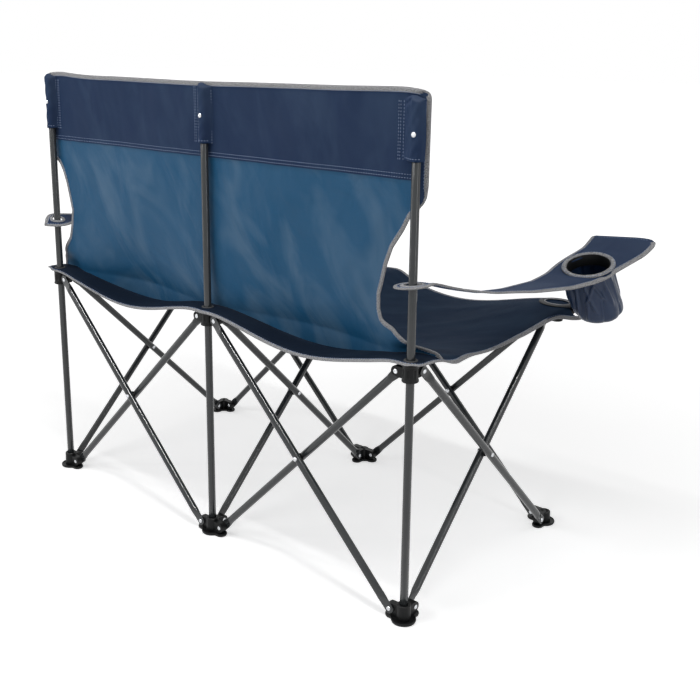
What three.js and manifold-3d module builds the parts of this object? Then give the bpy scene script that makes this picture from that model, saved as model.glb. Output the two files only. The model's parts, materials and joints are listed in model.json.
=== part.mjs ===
// Folding camping loveseat: three rear posts, six feet and seven pairs of crossed tubes that fold together,
// with a seat, a backrest and two armrests of cloth stretched over them.
// Lengths are in millimetres. X runs to the sitter's left, Y to the rear and Z up.
// The origin is on the floor, under the rear centre post.

import * as THREE from 'three';
import * as BufferGeometryUtils from 'three/addons/utils/BufferGeometryUtils.js';
import Module from 'manifold-3d';

const wasm = await Module();
wasm.setup();

// Frame
const BAY_WIDTH = 508;
const BAY_DEPTH = 508;
const FOOT_PIVOT_HEIGHT = 18;
const HUB_PIVOT_HEIGHT = 472;
const PIVOT_REACH = 27;
const POST_TOP_HEIGHT = 928;
const TUBE_DIAMETER = 15;
const TUBE_WALL = 1.5;
const TUBE_SIDES = 8;
const TUBE_GAP_AT_CROSSING = 2;
const CLEARANCE = 0.3;

// Tube ends, pressed flat until their walls meet
const FLAT_THICKNESS = 2 * TUBE_WALL;
const FLAT_WIDTH = 19;
const FLAT_END = 9;
const FLAT_SHOULDER = 5;
const FLAT_RUN = 11;
const FLARE_END = 34;
const FLAT_TIP_SHARE = 0.6;
const FLAT_SQUARENESS = 5;

// Rivets
const RIVET_SHANK = 5;
const RIVET_HEAD = 9;
const RIVET_HEAD_HEIGHT = 2.4;
const RIVET_BURR_HEIGHT = 1.2;
const RIVET_CROWN_SHARE = 0.75;
const RIVET_SIDES = 8;
const SPACER_DIAMETER = 15;

// Flat sides that stand for a round piece
const ROUND_SIDES = 12;
const LUG_ARC_STEPS = 3;

// Moulded feet
const FOOT_BASE_DIAMETER = 46;
const FOOT_BASE_HEIGHT = 6;
const FOOT_CHAMFER = 1.6;
const FOOT_PAD_WIDTH = 24;
const FOOT_BOSS_DIAMETER = 26;
const REAR_BOSS_HEIGHT = 34;
const FRONT_BOSS_HEIGHT = 27;
const SOCKET_FLOOR = 3.5;
const LUG_HALF_HEIGHT = 10;

// Moulded hubs
const HUB_DIAMETER = 30;
const FRONT_HUB_DIAMETER = 25;
const HUB_ABOVE_PIVOT = 21;
const HUB_BELOW_PIVOT = 14;
const HUB_RIM = 1.5;
const HUB_BORE_CLEARANCE = 0.4;

// Arm posts
const ARM_PIVOT_REACH = 24;
const ARM_PIVOT_ABOVE_HUB = 8;
const ARM_TIP_OUT = 147;
const ARM_TIP_HEIGHT = 627;
const ARM_CAP_DIAMETER = 22;
const ARM_CAP_LENGTH = 26;
const ARM_CAP_TOP = 3;

// Cloth
const CLOTH = 1.6;
const SEAT_EDGE_SAG = 36;
const SEAT_CENTRE_SAG = 52;
const SEAT_SIDE_OVERHANG = 24;
const SEAT_SIDE_SCALLOP = 18;
const SEAT_REAR_OVERHANG = 18;
const SEAT_REAR_SCALLOP = 12;
const SEAT_FRONT_OVERHANG = 20;
const SEAT_FRONT_SCALLOP = 10;
const SEAT_EAR = 26;
const SEAT_FOLD_HEIGHT = 1.6;
const SEAT_FOLDS = 5;
const SEAT_REST = 24;
const SEAT_POST_HOLE = 24;
const SEAT_COLUMNS = 10;
const SEAT_ROWS = 6;
const ARM_POST_HOLE = 36;

const BACK_ABOVE_POST = 16;
const BACK_BAND_DEPTH = 145;
const BACK_TOP_DIP = 5;
const BACK_WING = 16;
const BACK_SCOOP = 76;
const BACK_FOOT_FORWARD = 48;
const BACK_BELLY = 6;
const BACK_HANG_LEFT = 9;
const BACK_POST_SHARE = 0.3;
const BACK_FOLD_DEPTH = 2.2;
const BACK_FOLDS = 3;
const BACK_SEAM_GAP = 0.3;
const BACK_COLUMNS = 18;
const BACK_ROWS = 9;
const BAND_ROWS = 2;

const SLEEVE_LENGTH = 104;
const SLEEVE_WALL = 1.4;
const SLEEVE_RIVET_BELOW_TOP = 51;

const ARMREST_THICKNESS = 2.4;
const ARMREST_WIDTH = 128;
const ARMREST_REAR_HEIGHT = 622;
const ARMREST_SAG = 37;
const STRAP_COLUMNS = 4;
const CUP_INNER_DIAMETER = 84;
const CUP_RING_WIDTH = 9;
const CUP_RING_THICKNESS = 3;
const CUP_DEPTH = 100;
const CUP_LEAN = 16;
const CUP_INSIDE_ARM_TIP = 49;
const CUP_BEHIND_ARM_POST = 76.5;
const CUP_FOLD_DEPTH = 2.4;
const CUP_FOLDS = 6;
const CUP_SIDES = 24;

// How far a cutter for a hole in cloth reaches to either side of it
const CUT_OVERRUN = 60;

const TUBE_RADIUS = TUBE_DIAMETER / 2;
const BAR_OFFSET = TUBE_RADIUS + TUBE_GAP_AT_CROSSING / 2;
const LUG_THICKNESS = 2 * (BAR_OFFSET - FLAT_THICKNESS / 2 - CLEARANCE);
const HUB_TOP_HEIGHT = HUB_PIVOT_HEIGHT + HUB_ABOVE_PIVOT;
const SEAT_HEIGHT = HUB_TOP_HEIGHT + CLEARANCE + CLOTH;
const SEAT_MID_Y = -BAY_DEPTH / 2;
const BACK_FRONT_OF_POST = TUBE_RADIUS + SLEEVE_WALL + 2 * CLEARANCE + CLOTH / 2;
const BACK_TOP_HEIGHT = POST_TOP_HEIGHT + BACK_ABOVE_POST;
const BACK_BAND_HEIGHT = BACK_TOP_HEIGHT - BACK_BAND_DEPTH;
const ARM_PIVOT_HEIGHT = HUB_PIVOT_HEIGHT + ARM_PIVOT_ABOVE_HUB;
const ARM_POST_FORWARD = BAY_DEPTH + BAR_OFFSET;

const X = new THREE.Vector3(1, 0, 0);
const Y = new THREE.Vector3(0, 1, 0);
const Z = new THREE.Vector3(0, 0, 1);

const material = (name, color, roughness, metalness) =>
  new THREE.MeshStandardMaterial({ name, color, roughness, metalness });
const steel = material('powder_coated_steel', 0x4a4e50, 0.45, 0.6);
const zinc = material('zinc_rivet', 0xc9ccce, 0.3, 0.9);
const plastic = material('black_moulding', 0x17181a, 0.5, 0);
const navy = material('navy_cloth', 0x232c45, 0.85, 0);
const seatNavy = material('seat_cloth', 0x1e2738, 0.85, 0);
const blue = material('blue_coated_cloth', 0x33587a, 0.5, 0);

const loveseat = new THREE.Group();

// Geometry helpers

// Turns the faces outwards when the enclosed volume comes out negative.
function outward(geometry) {
  const p = geometry.getAttribute('position');
  const index = geometry.getIndex().array;
  const a = new THREE.Vector3();
  const b = new THREE.Vector3();
  const c = new THREE.Vector3();
  let volume = 0;
  for (let i = 0; i < index.length; i += 3) {
    a.fromBufferAttribute(p, index[i]);
    b.fromBufferAttribute(p, index[i + 1]);
    c.fromBufferAttribute(p, index[i + 2]);
    volume += a.dot(b.cross(c));
  }
  if (volume < 0) {
    for (let i = 0; i < index.length; i += 3) {
      [index[i + 1], index[i + 2]] = [index[i + 2], index[i + 1]];
    }
  }
  return geometry;
}

function indexed(points, triangles) {
  const geometry = new THREE.BufferGeometry().setFromPoints(points);
  geometry.setIndex(triangles);
  return outward(geometry);
}

// Joins rings of equal point count into one body, with a flat cap on the first and the last.
function ringLoft(rings) {
  const count = rings[0].length;
  const end = (rings.length - 1) * count;
  const triangles = [];
  for (let first = 0; first < end; first += count) {
    for (let i = 0; i < count; i++) {
      const [p, q] = [first + i, first + (i + 1) % count];
      triangles.push(p, q, q + count, p, q + count, p + count);
    }
  }
  for (let i = 1; i < count - 1; i++) {
    triangles.push(0, i + 1, i, end, end + i, end + i + 1);
  }
  return indexed(rings.flat(), triangles);
}

// A sheet of even thickness over a grid: point(u, v) is its middle surface, with u and v from 0 to 1.
function sheet(columns, rows, thickness, point) {
  const step = 1 / 512;
  const top = [];
  const bottom = [];
  for (let j = 0; j <= rows; j++) {
    for (let i = 0; i <= columns; i++) {
      const u = i / columns;
      const v = j / rows;
      const along = point(Math.min(u + step, 1), v).sub(point(Math.max(u - step, 0), v));
      const across = point(u, Math.min(v + step, 1)).sub(point(u, Math.max(v - step, 0)));
      const normal = along.cross(across).normalize().multiplyScalar(thickness / 2);
      const middle = point(u, v);
      top.push(middle.clone().add(normal));
      bottom.push(middle.clone().sub(normal));
    }
  }
  const width = columns + 1;
  const under = top.length;
  const triangles = [];
  for (let j = 0; j < rows; j++) {
    for (let i = 0; i < columns; i++) {
      const a = j * width + i;
      const b = a + 1;
      const c = a + width + 1;
      const d = a + width;
      triangles.push(a, b, c, a, c, d, under + a, under + c, under + b, under + a, under + d, under + c);
    }
  }
  const rim = [];
  for (let i = 0; i < columns; i++) rim.push(i);
  for (let j = 0; j < rows; j++) rim.push(j * width + columns);
  for (let i = columns; i > 0; i--) rim.push(rows * width + i);
  for (let j = rows; j > 0; j--) rim.push(j * width);
  rim.forEach((a, k) => {
    const b = rim[(k + 1) % rim.length];
    triangles.push(b, a, under + a, b, under + a, under + b);
  });
  return indexed([...top, ...bottom], triangles);
}

function solidOf(geometry) {
  const bare = geometry.clone();
  bare.deleteAttribute('normal');
  bare.deleteAttribute('uv');
  const merged = BufferGeometryUtils.mergeVertices(bare);
  const vertProperties = new Float32Array(merged.getAttribute('position').array);
  const triVerts = new Uint32Array(merged.getIndex().array);
  return new wasm.Manifold(new wasm.Mesh({ numProp: 3, vertProperties, triVerts }));
}

function geometryOf(solid) {
  const mesh = solid.getMesh();
  const geometry = new THREE.BufferGeometry();
  geometry.setAttribute('position', new THREE.BufferAttribute(mesh.vertProperties, mesh.numProp));
  geometry.setIndex(new THREE.BufferAttribute(mesh.triVerts, 1));
  return geometry;
}

// Joins and cuts a list of geometries: the first is the base, parts are added and cuts are taken away.
function combine(base, parts, cuts) {
  let solid = solidOf(base);
  for (const part of parts) solid = solid.add(solidOf(part));
  for (const cut of cuts) solid = solid.subtract(solidOf(cut));
  return geometryOf(solid);
}

// A cylinder from one point to another.
function rod(radius, from, to, sides) {
  const run = to.clone().sub(from);
  const geometry = new THREE.CylinderGeometry(radius, radius, run.length(), sides);
  const turn = new THREE.Quaternion().setFromUnitVectors(Y, run.clone().normalize());
  geometry.applyQuaternion(turn);
  return geometry.translate(...from.clone().add(to).multiplyScalar(1 / 2).toArray());
}

// A cutter for a round hole: its flat sides, not its corners, lie at the radius.
function borer(radius, from, to, sides = ROUND_SIDES) {
  return rod(radius / Math.cos(Math.PI / sides), from, to, sides);
}

// A round piece about Y from [radius, height] pairs that start and end on the axis or close on themselves.
function spun(profile, sides) {
  return outward(new THREE.LatheGeometry(profile.map(([r, y]) => new THREE.Vector2(r, y)), sides));
}

// The same about Z.
const turned = (profile, sides) => spun(profile, sides).rotateX(Math.PI / 2);

// A rivet along local Y: a domed head bears on a face at high, and a shallow burr on a face at low.
function rivet(low, high) {
  const shank = RIVET_SHANK / 2;
  const head = RIVET_HEAD / 2;
  const crown = [head * RIVET_CROWN_SHARE, high + RIVET_HEAD_HEIGHT * RIVET_CROWN_SHARE];
  return spun([
    [0, low - RIVET_BURR_HEIGHT], [head, low], [shank, low],
    [shank, high], [head, high], crown, [0, high + RIVET_HEAD_HEIGHT],
  ], RIVET_SIDES);
}

function add(name, geometry, finish) {
  const mesh = new THREE.Mesh(geometry, finish);
  mesh.name = name;
  loveseat.add(mesh);
  return mesh;
}

// Where the posts, feet and hubs stand in plan

const stations = {
  rear_left: { x: BAY_WIDTH, y: 0 },
  rear_centre: { x: 0, y: 0 },
  rear_right: { x: -BAY_WIDTH, y: 0 },
  front_left: { x: BAY_WIDTH, y: -BAY_DEPTH },
  front_centre: { x: 0, y: -BAY_DEPTH },
  front_right: { x: -BAY_WIDTH, y: -BAY_DEPTH },
};
const isRear = (name) => name.startsWith('rear');

// Each tube runs from a foot to a hub. Side says on which face of the lugs it is riveted.
const crossTubes = [
  { name: 'rear_left_cross_tube_a', foot: 'rear_centre', hub: 'rear_left', side: 1 },
  { name: 'rear_left_cross_tube_b', foot: 'rear_left', hub: 'rear_centre', side: -1 },
  { name: 'rear_right_cross_tube_a', foot: 'rear_right', hub: 'rear_centre', side: 1 },
  { name: 'rear_right_cross_tube_b', foot: 'rear_centre', hub: 'rear_right', side: -1 },
  { name: 'front_left_cross_tube_a', foot: 'front_left', hub: 'front_centre', side: -1 },
  { name: 'front_left_cross_tube_b', foot: 'front_centre', hub: 'front_left', side: 1 },
  { name: 'front_right_cross_tube_a', foot: 'front_centre', hub: 'front_right', side: -1 },
  { name: 'front_right_cross_tube_b', foot: 'front_right', hub: 'front_centre', side: 1 },
  { name: 'side_left_cross_tube_a', foot: 'front_left', hub: 'rear_left', side: -1 },
  { name: 'side_left_cross_tube_b', foot: 'rear_left', hub: 'front_left', side: 1 },
  { name: 'middle_cross_tube_a', foot: 'front_centre', hub: 'rear_centre', side: -1 },
  { name: 'middle_cross_tube_b', foot: 'rear_centre', hub: 'front_centre', side: 1 },
  { name: 'side_right_cross_tube_a', foot: 'front_right', hub: 'rear_right', side: -1 },
  { name: 'side_right_cross_tube_b', foot: 'rear_right', hub: 'front_right', side: 1 },
];

for (const tube of crossTubes) {
  const foot = stations[tube.foot];
  const hub = stations[tube.hub];
  tube.heading = new THREE.Vector3(Math.sign(hub.x - foot.x), Math.sign(hub.y - foot.y), 0);
  tube.pivotAxis = tube.heading.x === 0 ? X : Y;
  const aside = tube.pivotAxis.clone().multiplyScalar(tube.side * BAR_OFFSET);
  const reach = tube.heading.clone().multiplyScalar(PIVOT_REACH);
  tube.low = new THREE.Vector3(foot.x, foot.y, FOOT_PIVOT_HEIGHT).add(aside).add(reach);
  tube.high = new THREE.Vector3(hub.x, hub.y, HUB_PIVOT_HEIGHT).add(aside).sub(reach);
}

// Crossed tubes

// One cross section of a tube in local YZ. Squareness 2 is round and more than 2 is a flat oval,
// and the sides are flat towards local Y, where they lie at half the thickness.
function section(along, halfThickness, halfWidth, squareness) {
  const soften = (value) => Math.sign(value) * Math.abs(value) ** (2 / squareness);
  const flats = soften(Math.cos(Math.PI / TUBE_SIDES));
  return Array.from({ length: TUBE_SIDES }, (_, i) => {
    const angle = (2 * Math.PI * (i + 1 / 2)) / TUBE_SIDES;
    const y = halfThickness * soften(Math.cos(angle)) / flats;
    const z = halfWidth * soften(Math.sin(angle)) / (squareness > 2 ? 1 : flats);
    return new THREE.Vector3(along, y, z);
  });
}

// A tube along local X, flattened round its low pivot and also, for a crossed tube, round its high one.
// It is hollow between the flattened ends, and a crossed tube's drilled hole opens the hollow.
function pinchedTube(length, highEndFlat) {
  const thin = FLAT_THICKNESS / 2;
  const wide = FLAT_WIDTH / 2;
  const flatEnd = (pivot, outwardSign) => [
    [pivot + outwardSign * FLAT_END, thin, wide * FLAT_TIP_SHARE, FLAT_SQUARENESS],
    [pivot + outwardSign * FLAT_SHOULDER, thin, wide, FLAT_SQUARENESS],
    [pivot - outwardSign * FLAT_RUN, thin, wide, FLAT_SQUARENESS],
    [pivot - outwardSign * FLARE_END, TUBE_RADIUS, TUBE_RADIUS, 2],
  ];
  const high = highEndFlat ? flatEnd(length, 1).reverse() : [[length, TUBE_RADIUS, TUBE_RADIUS, 2]];
  const outer = [...flatEnd(0, -1), ...high].map((station) => section(...station));
  const wall = TUBE_RADIUS - TUBE_WALL;
  const hollowEnd = highEndFlat ? length - FLARE_END : length + FLARE_END;
  const hollow = [FLARE_END, hollowEnd].map((at) => section(at, wall, wall, 2));
  return combine(ringLoft(outer), [], [ringLoft(hollow)]);
}

// The rivet that holds a flattened end to its lug. Side is that of the tube, so the burr is beyond the lug.
function endRivet(along, side) {
  const pin = rivet(-BAR_OFFSET - LUG_THICKNESS / 2 - CLEARANCE, FLAT_THICKNESS / 2);
  if (side < 0) pin.rotateX(Math.PI);
  return pin.translate(along, 0, 0);
}

function place(mesh, origin, along, pivotAxis) {
  const matrix = new THREE.Matrix4().makeBasis(along, pivotAxis, along.clone().cross(pivotAxis));
  mesh.setRotationFromMatrix(matrix);
  mesh.position.copy(origin);
}

for (const tube of crossTubes) {
  const run = tube.high.clone().sub(tube.low);
  const length = run.length();
  const drill = new THREE.Vector3(length / 2, -TUBE_DIAMETER, 0);
  const drillEnd = new THREE.Vector3(length / 2, TUBE_DIAMETER, 0);
  const geometry = combine(
    pinchedTube(length, true),
    [endRivet(0, tube.side), endRivet(length, tube.side)],
    [borer(RIVET_SHANK / 2 + CLEARANCE, drill, drillEnd, RIVET_SIDES)],
  );
  place(add(tube.name, geometry, steel), tube.low, run.normalize(), tube.pivotAxis);
}

// Rivet and spacer at each crossing

for (const tube of crossTubes.filter((each) => each.name.endsWith('_a'))) {
  const middle = tube.low.clone().add(tube.high).multiplyScalar(1 / 2);
  middle.addScaledVector(tube.pivotAxis, -tube.side * BAR_OFFSET);
  const pair = tube.name.replace('_cross_tube_a', '');
  const bearing = BAR_OFFSET + TUBE_RADIUS + CLEARANCE;
  const pin = add(`${pair}_crossing_rivet`, rivet(-bearing, bearing), zinc);
  place(pin, middle, tube.heading, tube.pivotAxis);
  const bore = RIVET_SHANK / 2 + CLEARANCE;
  const rim = SPACER_DIAMETER / 2;
  const half = TUBE_GAP_AT_CROSSING / 2 - CLEARANCE;
  const ring = [[bore, -half], [rim, -half], [rim, half], [bore, half], [bore, -half]];
  const spacer = add(`${pair}_crossing_spacer`, spun(ring, ROUND_SIDES), plastic);
  place(spacer, middle, tube.heading, tube.pivotAxis);
}

// Lugs of the mouldings

// A tongue that stands out from a moulding along heading, round at its pivot and bored for the rivet.
function tongue(heading, reach, pivotHeight, bottom) {
  const shape = new THREE.Shape();
  shape.moveTo(0, bottom);
  shape.lineTo(reach, bottom);
  shape.absarc(reach, pivotHeight, LUG_HALF_HEIGHT, -Math.PI / 2, Math.PI / 2, false);
  shape.lineTo(0, pivotHeight + LUG_HALF_HEIGHT);
  shape.closePath();
  const form = { depth: LUG_THICKNESS, bevelEnabled: false, curveSegments: LUG_ARC_STEPS };
  const geometry = new THREE.ExtrudeGeometry(shape, form);
  geometry.translate(0, 0, -LUG_THICKNESS / 2);
  geometry.rotateX(Math.PI / 2);
  return geometry.rotateZ(Math.atan2(heading.y, heading.x));
}

function tongueBore(heading, reach, pivotHeight) {
  const axis = new THREE.Vector3(-heading.y, heading.x, 0);
  const centre = heading.clone().multiplyScalar(reach).setZ(pivotHeight);
  const from = centre.clone().addScaledVector(axis, -LUG_THICKNESS);
  const to = centre.clone().addScaledVector(axis, LUG_THICKNESS);
  return borer(RIVET_SHANK / 2 + CLEARANCE, from, to, RIVET_SIDES);
}

const headingsAt = (name, end) => crossTubes
  .filter((tube) => tube[end] === name)
  .map((tube) => tube.heading.clone().multiplyScalar(end === 'foot' ? 1 : -1));

// Feet

function foot(name) {
  const rear = isRear(name);
  const base = FOOT_BASE_DIAMETER / 2;
  const bossHeight = rear ? REAR_BOSS_HEIGHT : FRONT_BOSS_HEIGHT;
  const boss = FOOT_BOSS_DIAMETER / 2;
  const body = turned([
    [0, 0], [base, 0], [base, FOOT_BASE_HEIGHT - FOOT_CHAMFER], [base - FOOT_CHAMFER, FOOT_BASE_HEIGHT],
    [boss, FOOT_BASE_HEIGHT], [boss, bossHeight - FOOT_CHAMFER], [boss - FOOT_CHAMFER, bossHeight],
    [0, bossHeight],
  ], ROUND_SIDES);
  const parts = [];
  const cuts = [];
  for (const heading of headingsAt(name, 'foot')) {
    const pad = new THREE.Shape();
    const half = FOOT_PAD_WIDTH / 2;
    pad.moveTo(0, -half);
    pad.lineTo(PIVOT_REACH, -half);
    pad.absarc(PIVOT_REACH, 0, half, -Math.PI / 2, Math.PI / 2, false);
    pad.lineTo(0, half);
    pad.closePath();
    const form = { depth: FOOT_BASE_HEIGHT, bevelEnabled: false, curveSegments: LUG_ARC_STEPS };
    const slab = new THREE.ExtrudeGeometry(pad, form);
    parts.push(slab.rotateZ(Math.atan2(heading.y, heading.x)));
    parts.push(tongue(heading, PIVOT_REACH, FOOT_PIVOT_HEIGHT, FOOT_BASE_HEIGHT / 2));
    cuts.push(tongueBore(heading, PIVOT_REACH, FOOT_PIVOT_HEIGHT));
  }
  const hollow = rear ? TUBE_RADIUS + CLEARANCE : TUBE_RADIUS;
  const floor = new THREE.Vector3(0, 0, rear ? SOCKET_FLOOR : FOOT_PIVOT_HEIGHT);
  cuts.push(borer(hollow, floor, new THREE.Vector3(0, 0, 2 * bossHeight)));
  return combine(body, parts, cuts);
}

for (const [name, at] of Object.entries(stations)) {
  add(`${name}_foot`, foot(name), plastic).position.set(at.x, at.y, 0);
}

// Hubs: the rear ones slide on the posts, the front ones carry the seat's front corners

const outwardAt = (name) => Math.sign(stations[name].x);

function hub(name) {
  const rear = isRear(name);
  const radius = (rear ? HUB_DIAMETER : FRONT_HUB_DIAMETER) / 2;
  const low = HUB_PIVOT_HEIGHT - HUB_BELOW_PIVOT;
  const body = turned([
    [0, low], [radius - HUB_RIM, low], [radius, low + HUB_RIM],
    [radius, HUB_TOP_HEIGHT - HUB_RIM], [radius - HUB_RIM, HUB_TOP_HEIGHT], [0, HUB_TOP_HEIGHT],
  ], ROUND_SIDES);
  const parts = [];
  const cuts = [];
  for (const heading of headingsAt(name, 'hub')) {
    parts.push(tongue(heading, PIVOT_REACH, HUB_PIVOT_HEIGHT, HUB_PIVOT_HEIGHT - LUG_HALF_HEIGHT));
    cuts.push(tongueBore(heading, PIVOT_REACH, HUB_PIVOT_HEIGHT));
  }
  if (rear) {
    const bore = TUBE_RADIUS + HUB_BORE_CLEARANCE;
    const top = new THREE.Vector3(0, 0, HUB_TOP_HEIGHT + radius);
    cuts.push(borer(bore, new THREE.Vector3(0, 0, low - radius), top));
  } else if (outwardAt(name) !== 0) {
    const heading = new THREE.Vector3(outwardAt(name), 0, 0);
    parts.push(tongue(heading, ARM_PIVOT_REACH, ARM_PIVOT_HEIGHT, ARM_PIVOT_HEIGHT - LUG_HALF_HEIGHT));
    cuts.push(tongueBore(heading, ARM_PIVOT_REACH, ARM_PIVOT_HEIGHT));
  }
  return combine(body, parts, cuts);
}

for (const [name, at] of Object.entries(stations)) {
  add(`${name}_hub`, hub(name), plastic).position.set(at.x, at.y, 0);
}

// Rear posts, each with the rivet that holds its sleeve

function post() {
  const low = SOCKET_FLOOR + CLEARANCE;
  const inner = TUBE_RADIUS - TUBE_WALL;
  const wall = turned([
    [inner, low], [TUBE_RADIUS, low], [TUBE_RADIUS, POST_TOP_HEIGHT], [inner, POST_TOP_HEIGHT], [inner, low],
  ], ROUND_SIDES);
  const face = TUBE_RADIUS + SLEEVE_WALL + 2 * CLEARANCE;
  const pin = rivet(inner - TUBE_WALL, face).translate(0, 0, POST_TOP_HEIGHT - SLEEVE_RIVET_BELOW_TOP);
  return combine(wall, [pin], []);
}

const rearNames = Object.keys(stations).filter(isRear);
for (const name of rearNames) {
  add(`${name}_post`, post(), steel).position.set(stations[name].x, stations[name].y, 0);
}

// Arm posts: short tubes that lean outwards from the front hubs, each with a moulded cap under its armrest

for (const side of [1, -1]) {
  const word = side > 0 ? 'left' : 'right';
  const at = new THREE.Vector3(side * (BAY_WIDTH + ARM_PIVOT_REACH), -ARM_POST_FORWARD, ARM_PIVOT_HEIGHT);
  const tip = new THREE.Vector3(side * (BAY_WIDTH + ARM_TIP_OUT), at.y, ARM_TIP_HEIGHT);
  const run = tip.clone().sub(at);
  const length = run.length();
  const geometry = combine(pinchedTube(length, false), [endRivet(0, -1)], []);
  place(add(`${word}_arm_post`, geometry, steel), at, run.clone().normalize(), Y);
  const outer = ARM_CAP_DIAMETER / 2;
  const inner = TUBE_RADIUS / Math.cos(Math.PI / TUBE_SIDES) + 2 * CLEARANCE;
  const mouth = CLEARANCE - ARM_CAP_LENGTH;
  const cap = turned([
    [0, CLEARANCE], [inner, CLEARANCE], [inner, mouth], [outer, mouth],
    [outer, 0], [outer - ARM_CAP_TOP / 2, ARM_CAP_TOP], [0, ARM_CAP_TOP],
  ], ROUND_SIDES);
  const mesh = add(`${word}_arm_cap`, cap, plastic);
  mesh.position.copy(tip);
  mesh.quaternion.setFromUnitVectors(Z, run.clone().normalize());
}

// Seat: four panels, two to a bay, that hang from the hubs

// How slack the cloth hangs at a distance along a bay: none where it rests on a hub, most in mid-bay.
function slack(distance, bay) {
  const share = (distance - SEAT_REST) / (bay - 2 * SEAT_REST);
  return Math.sin(Math.PI * THREE.MathUtils.clamp(share, 0, 1)) ** 1.5;
}

function seatSurfaceHeight(x, y) {
  const across = slack(Math.abs(x), BAY_WIDTH);
  const along = slack(-y, BAY_DEPTH);
  const wave = Math.sin(SEAT_FOLDS * Math.PI * (Math.abs(x) - y) / BAY_WIDTH);
  const folds = SEAT_FOLD_HEIGHT * across * along * wave;
  const both = (2 * SEAT_EDGE_SAG - SEAT_CENTRE_SAG) * across * along;
  return SEAT_HEIGHT - SEAT_EDGE_SAG * (across + along) + both + folds;
}

// Spreads grid lines so that one lies at the edge of each hub: start, first line, last line and end.
function spread(share, lines, count) {
  const [start, first, last, end] = lines;
  const step = 1 / count;
  if (share < step) return THREE.MathUtils.lerp(start, first, share / step);
  if (share > 1 - step) return THREE.MathUtils.lerp(last, end, (share - 1 + step) / step);
  return THREE.MathUtils.lerp(first, last, (share - step) / (1 - 2 * step));
}

// The seat's outline: its rear, front and side edges are scalloped between the hubs.
function seatOutline(bayShare, depthShare) {
  const lean = depthShare ** 4;
  const side = BAY_WIDTH + SEAT_SIDE_OVERHANG + SEAT_EAR * lean;
  const outer = side - SEAT_SIDE_SCALLOP * Math.sin(Math.PI * depthShare);
  const rear = SEAT_REAR_OVERHANG - SEAT_REAR_SCALLOP * Math.sin(Math.PI * bayShare);
  const ear = SEAT_EAR * bayShare ** 6 / 2;
  const front = -BAY_DEPTH - SEAT_FRONT_OVERHANG - ear + SEAT_FRONT_SCALLOP * Math.sin(Math.PI * bayShare);
  return { outer, rear, front };
}

function seatPanel(side, half) {
  const seam = SEAT_MID_Y + (half === 'rear' ? CLEARANCE : -CLEARANCE) / 2;
  return sheet(SEAT_COLUMNS, SEAT_ROWS, CLOTH, (u, v) => {
    const bayLines = [0, SEAT_REST, BAY_WIDTH - SEAT_REST, BAY_WIDTH];
    const acrossShare = spread(u, bayLines, SEAT_COLUMNS) / BAY_WIDTH;
    const alongShare = half === 'rear' ? v / 2 : (1 + v) / 2;
    const { outer, rear, front } = seatOutline(acrossShare, alongShare);
    const acrossLines = [CLEARANCE / 2, SEAT_REST, BAY_WIDTH - SEAT_REST, outer];
    const rearLines = [rear, -SEAT_REST, seam + SEAT_REST, seam];
    const frontLines = [seam, seam - SEAT_REST, SEAT_REST - BAY_DEPTH, front];
    const x = side * spread(u, acrossLines, SEAT_COLUMNS);
    const y = spread(v, half === 'rear' ? rearLines : frontLines, SEAT_ROWS);
    return new THREE.Vector3(x, y, seatSurfaceHeight(x, y));
  });
}

const upright = (radius, x, y, height) => borer(
  radius, new THREE.Vector3(x, y, height - CUT_OVERRUN), new THREE.Vector3(x, y, height + CUT_OVERRUN),
);
const armPostAtSeat = () => {
  const share = (SEAT_HEIGHT - ARM_PIVOT_HEIGHT) / (ARM_TIP_HEIGHT - ARM_PIVOT_HEIGHT);
  return BAY_WIDTH + ARM_PIVOT_REACH + share * (ARM_TIP_OUT - ARM_PIVOT_REACH);
};

for (const side of [1, -1]) {
  const word = side > 0 ? 'left' : 'right';
  const rearHoles = [0, side * BAY_WIDTH].map((x) => upright(SEAT_POST_HOLE / 2, x, 0, SEAT_HEIGHT));
  add(`seat_rear_${word}`, combine(seatPanel(side, 'rear'), [], rearHoles), seatNavy);
  const armHole = upright(ARM_POST_HOLE / 2, side * armPostAtSeat(), -ARM_POST_FORWARD, SEAT_HEIGHT);
  add(`seat_front_${word}`, combine(seatPanel(side, 'front'), [], [armHole]), seatNavy);
}

// Backrest: a navy band over a coated blue panel, in front of the posts

// The scooped edge from the band down: each pair is a share of the way from the seat up to the band,
// and how far the edge is drawn in there, from the wing outside the post at 0 to the full scoop at 1.
const backEdgeShares = [
  [1, 0], [0.88, 0.12], [0.82, 0.3], [0.69, 0.59], [0.56, 0.8], [0.44, 0.95],
  [0.31, 1], [0.16, 0.93], [0.08, 0.7], [0.02, 0.43], [-0.03, 0.26],
];

// How far down a height lies from the band, at 0, to the seat, at 1.
const dropAt = (height) => (BACK_BAND_HEIGHT - height) / (BACK_BAND_HEIGHT - SEAT_HEIGHT);

function backHalfWidth(height) {
  const heightShare = THREE.MathUtils.clamp(1 - dropAt(height), backEdgeShares.at(-1)[0], 1);
  const below = Math.max(1, backEdgeShares.findIndex(([share]) => share <= heightShare));
  const [highShare, highScoop] = backEdgeShares[below - 1];
  const [lowShare, lowScoop] = backEdgeShares[below];
  const scoop = THREE.MathUtils.mapLinear(heightShare, lowShare, highShare, lowScoop, highScoop);
  return BAY_WIDTH + BACK_WING - scoop * (BACK_WING + BACK_SCOOP);
}

function backDepth(x, height) {
  const bay = Math.sin(Math.PI * Math.min(Math.abs(x) / BAY_WIDTH, 1)) ** 2;
  const lower = THREE.MathUtils.clamp(dropAt(height), 0, 1);
  const reach = THREE.MathUtils.lerp(BACK_POST_SHARE, 1, bay);
  const forward = (BACK_FOOT_FORWARD - BACK_FRONT_OF_POST) * reach * lower ** 5;
  const folds = BACK_FOLD_DEPTH * bay * Math.sin(BACK_FOLDS * Math.PI * (x + height) / BAY_WIDTH);
  return -BACK_FRONT_OF_POST - forward - BACK_BELLY * bay * Math.max(lower, 1 / 4) - folds;
}

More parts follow.
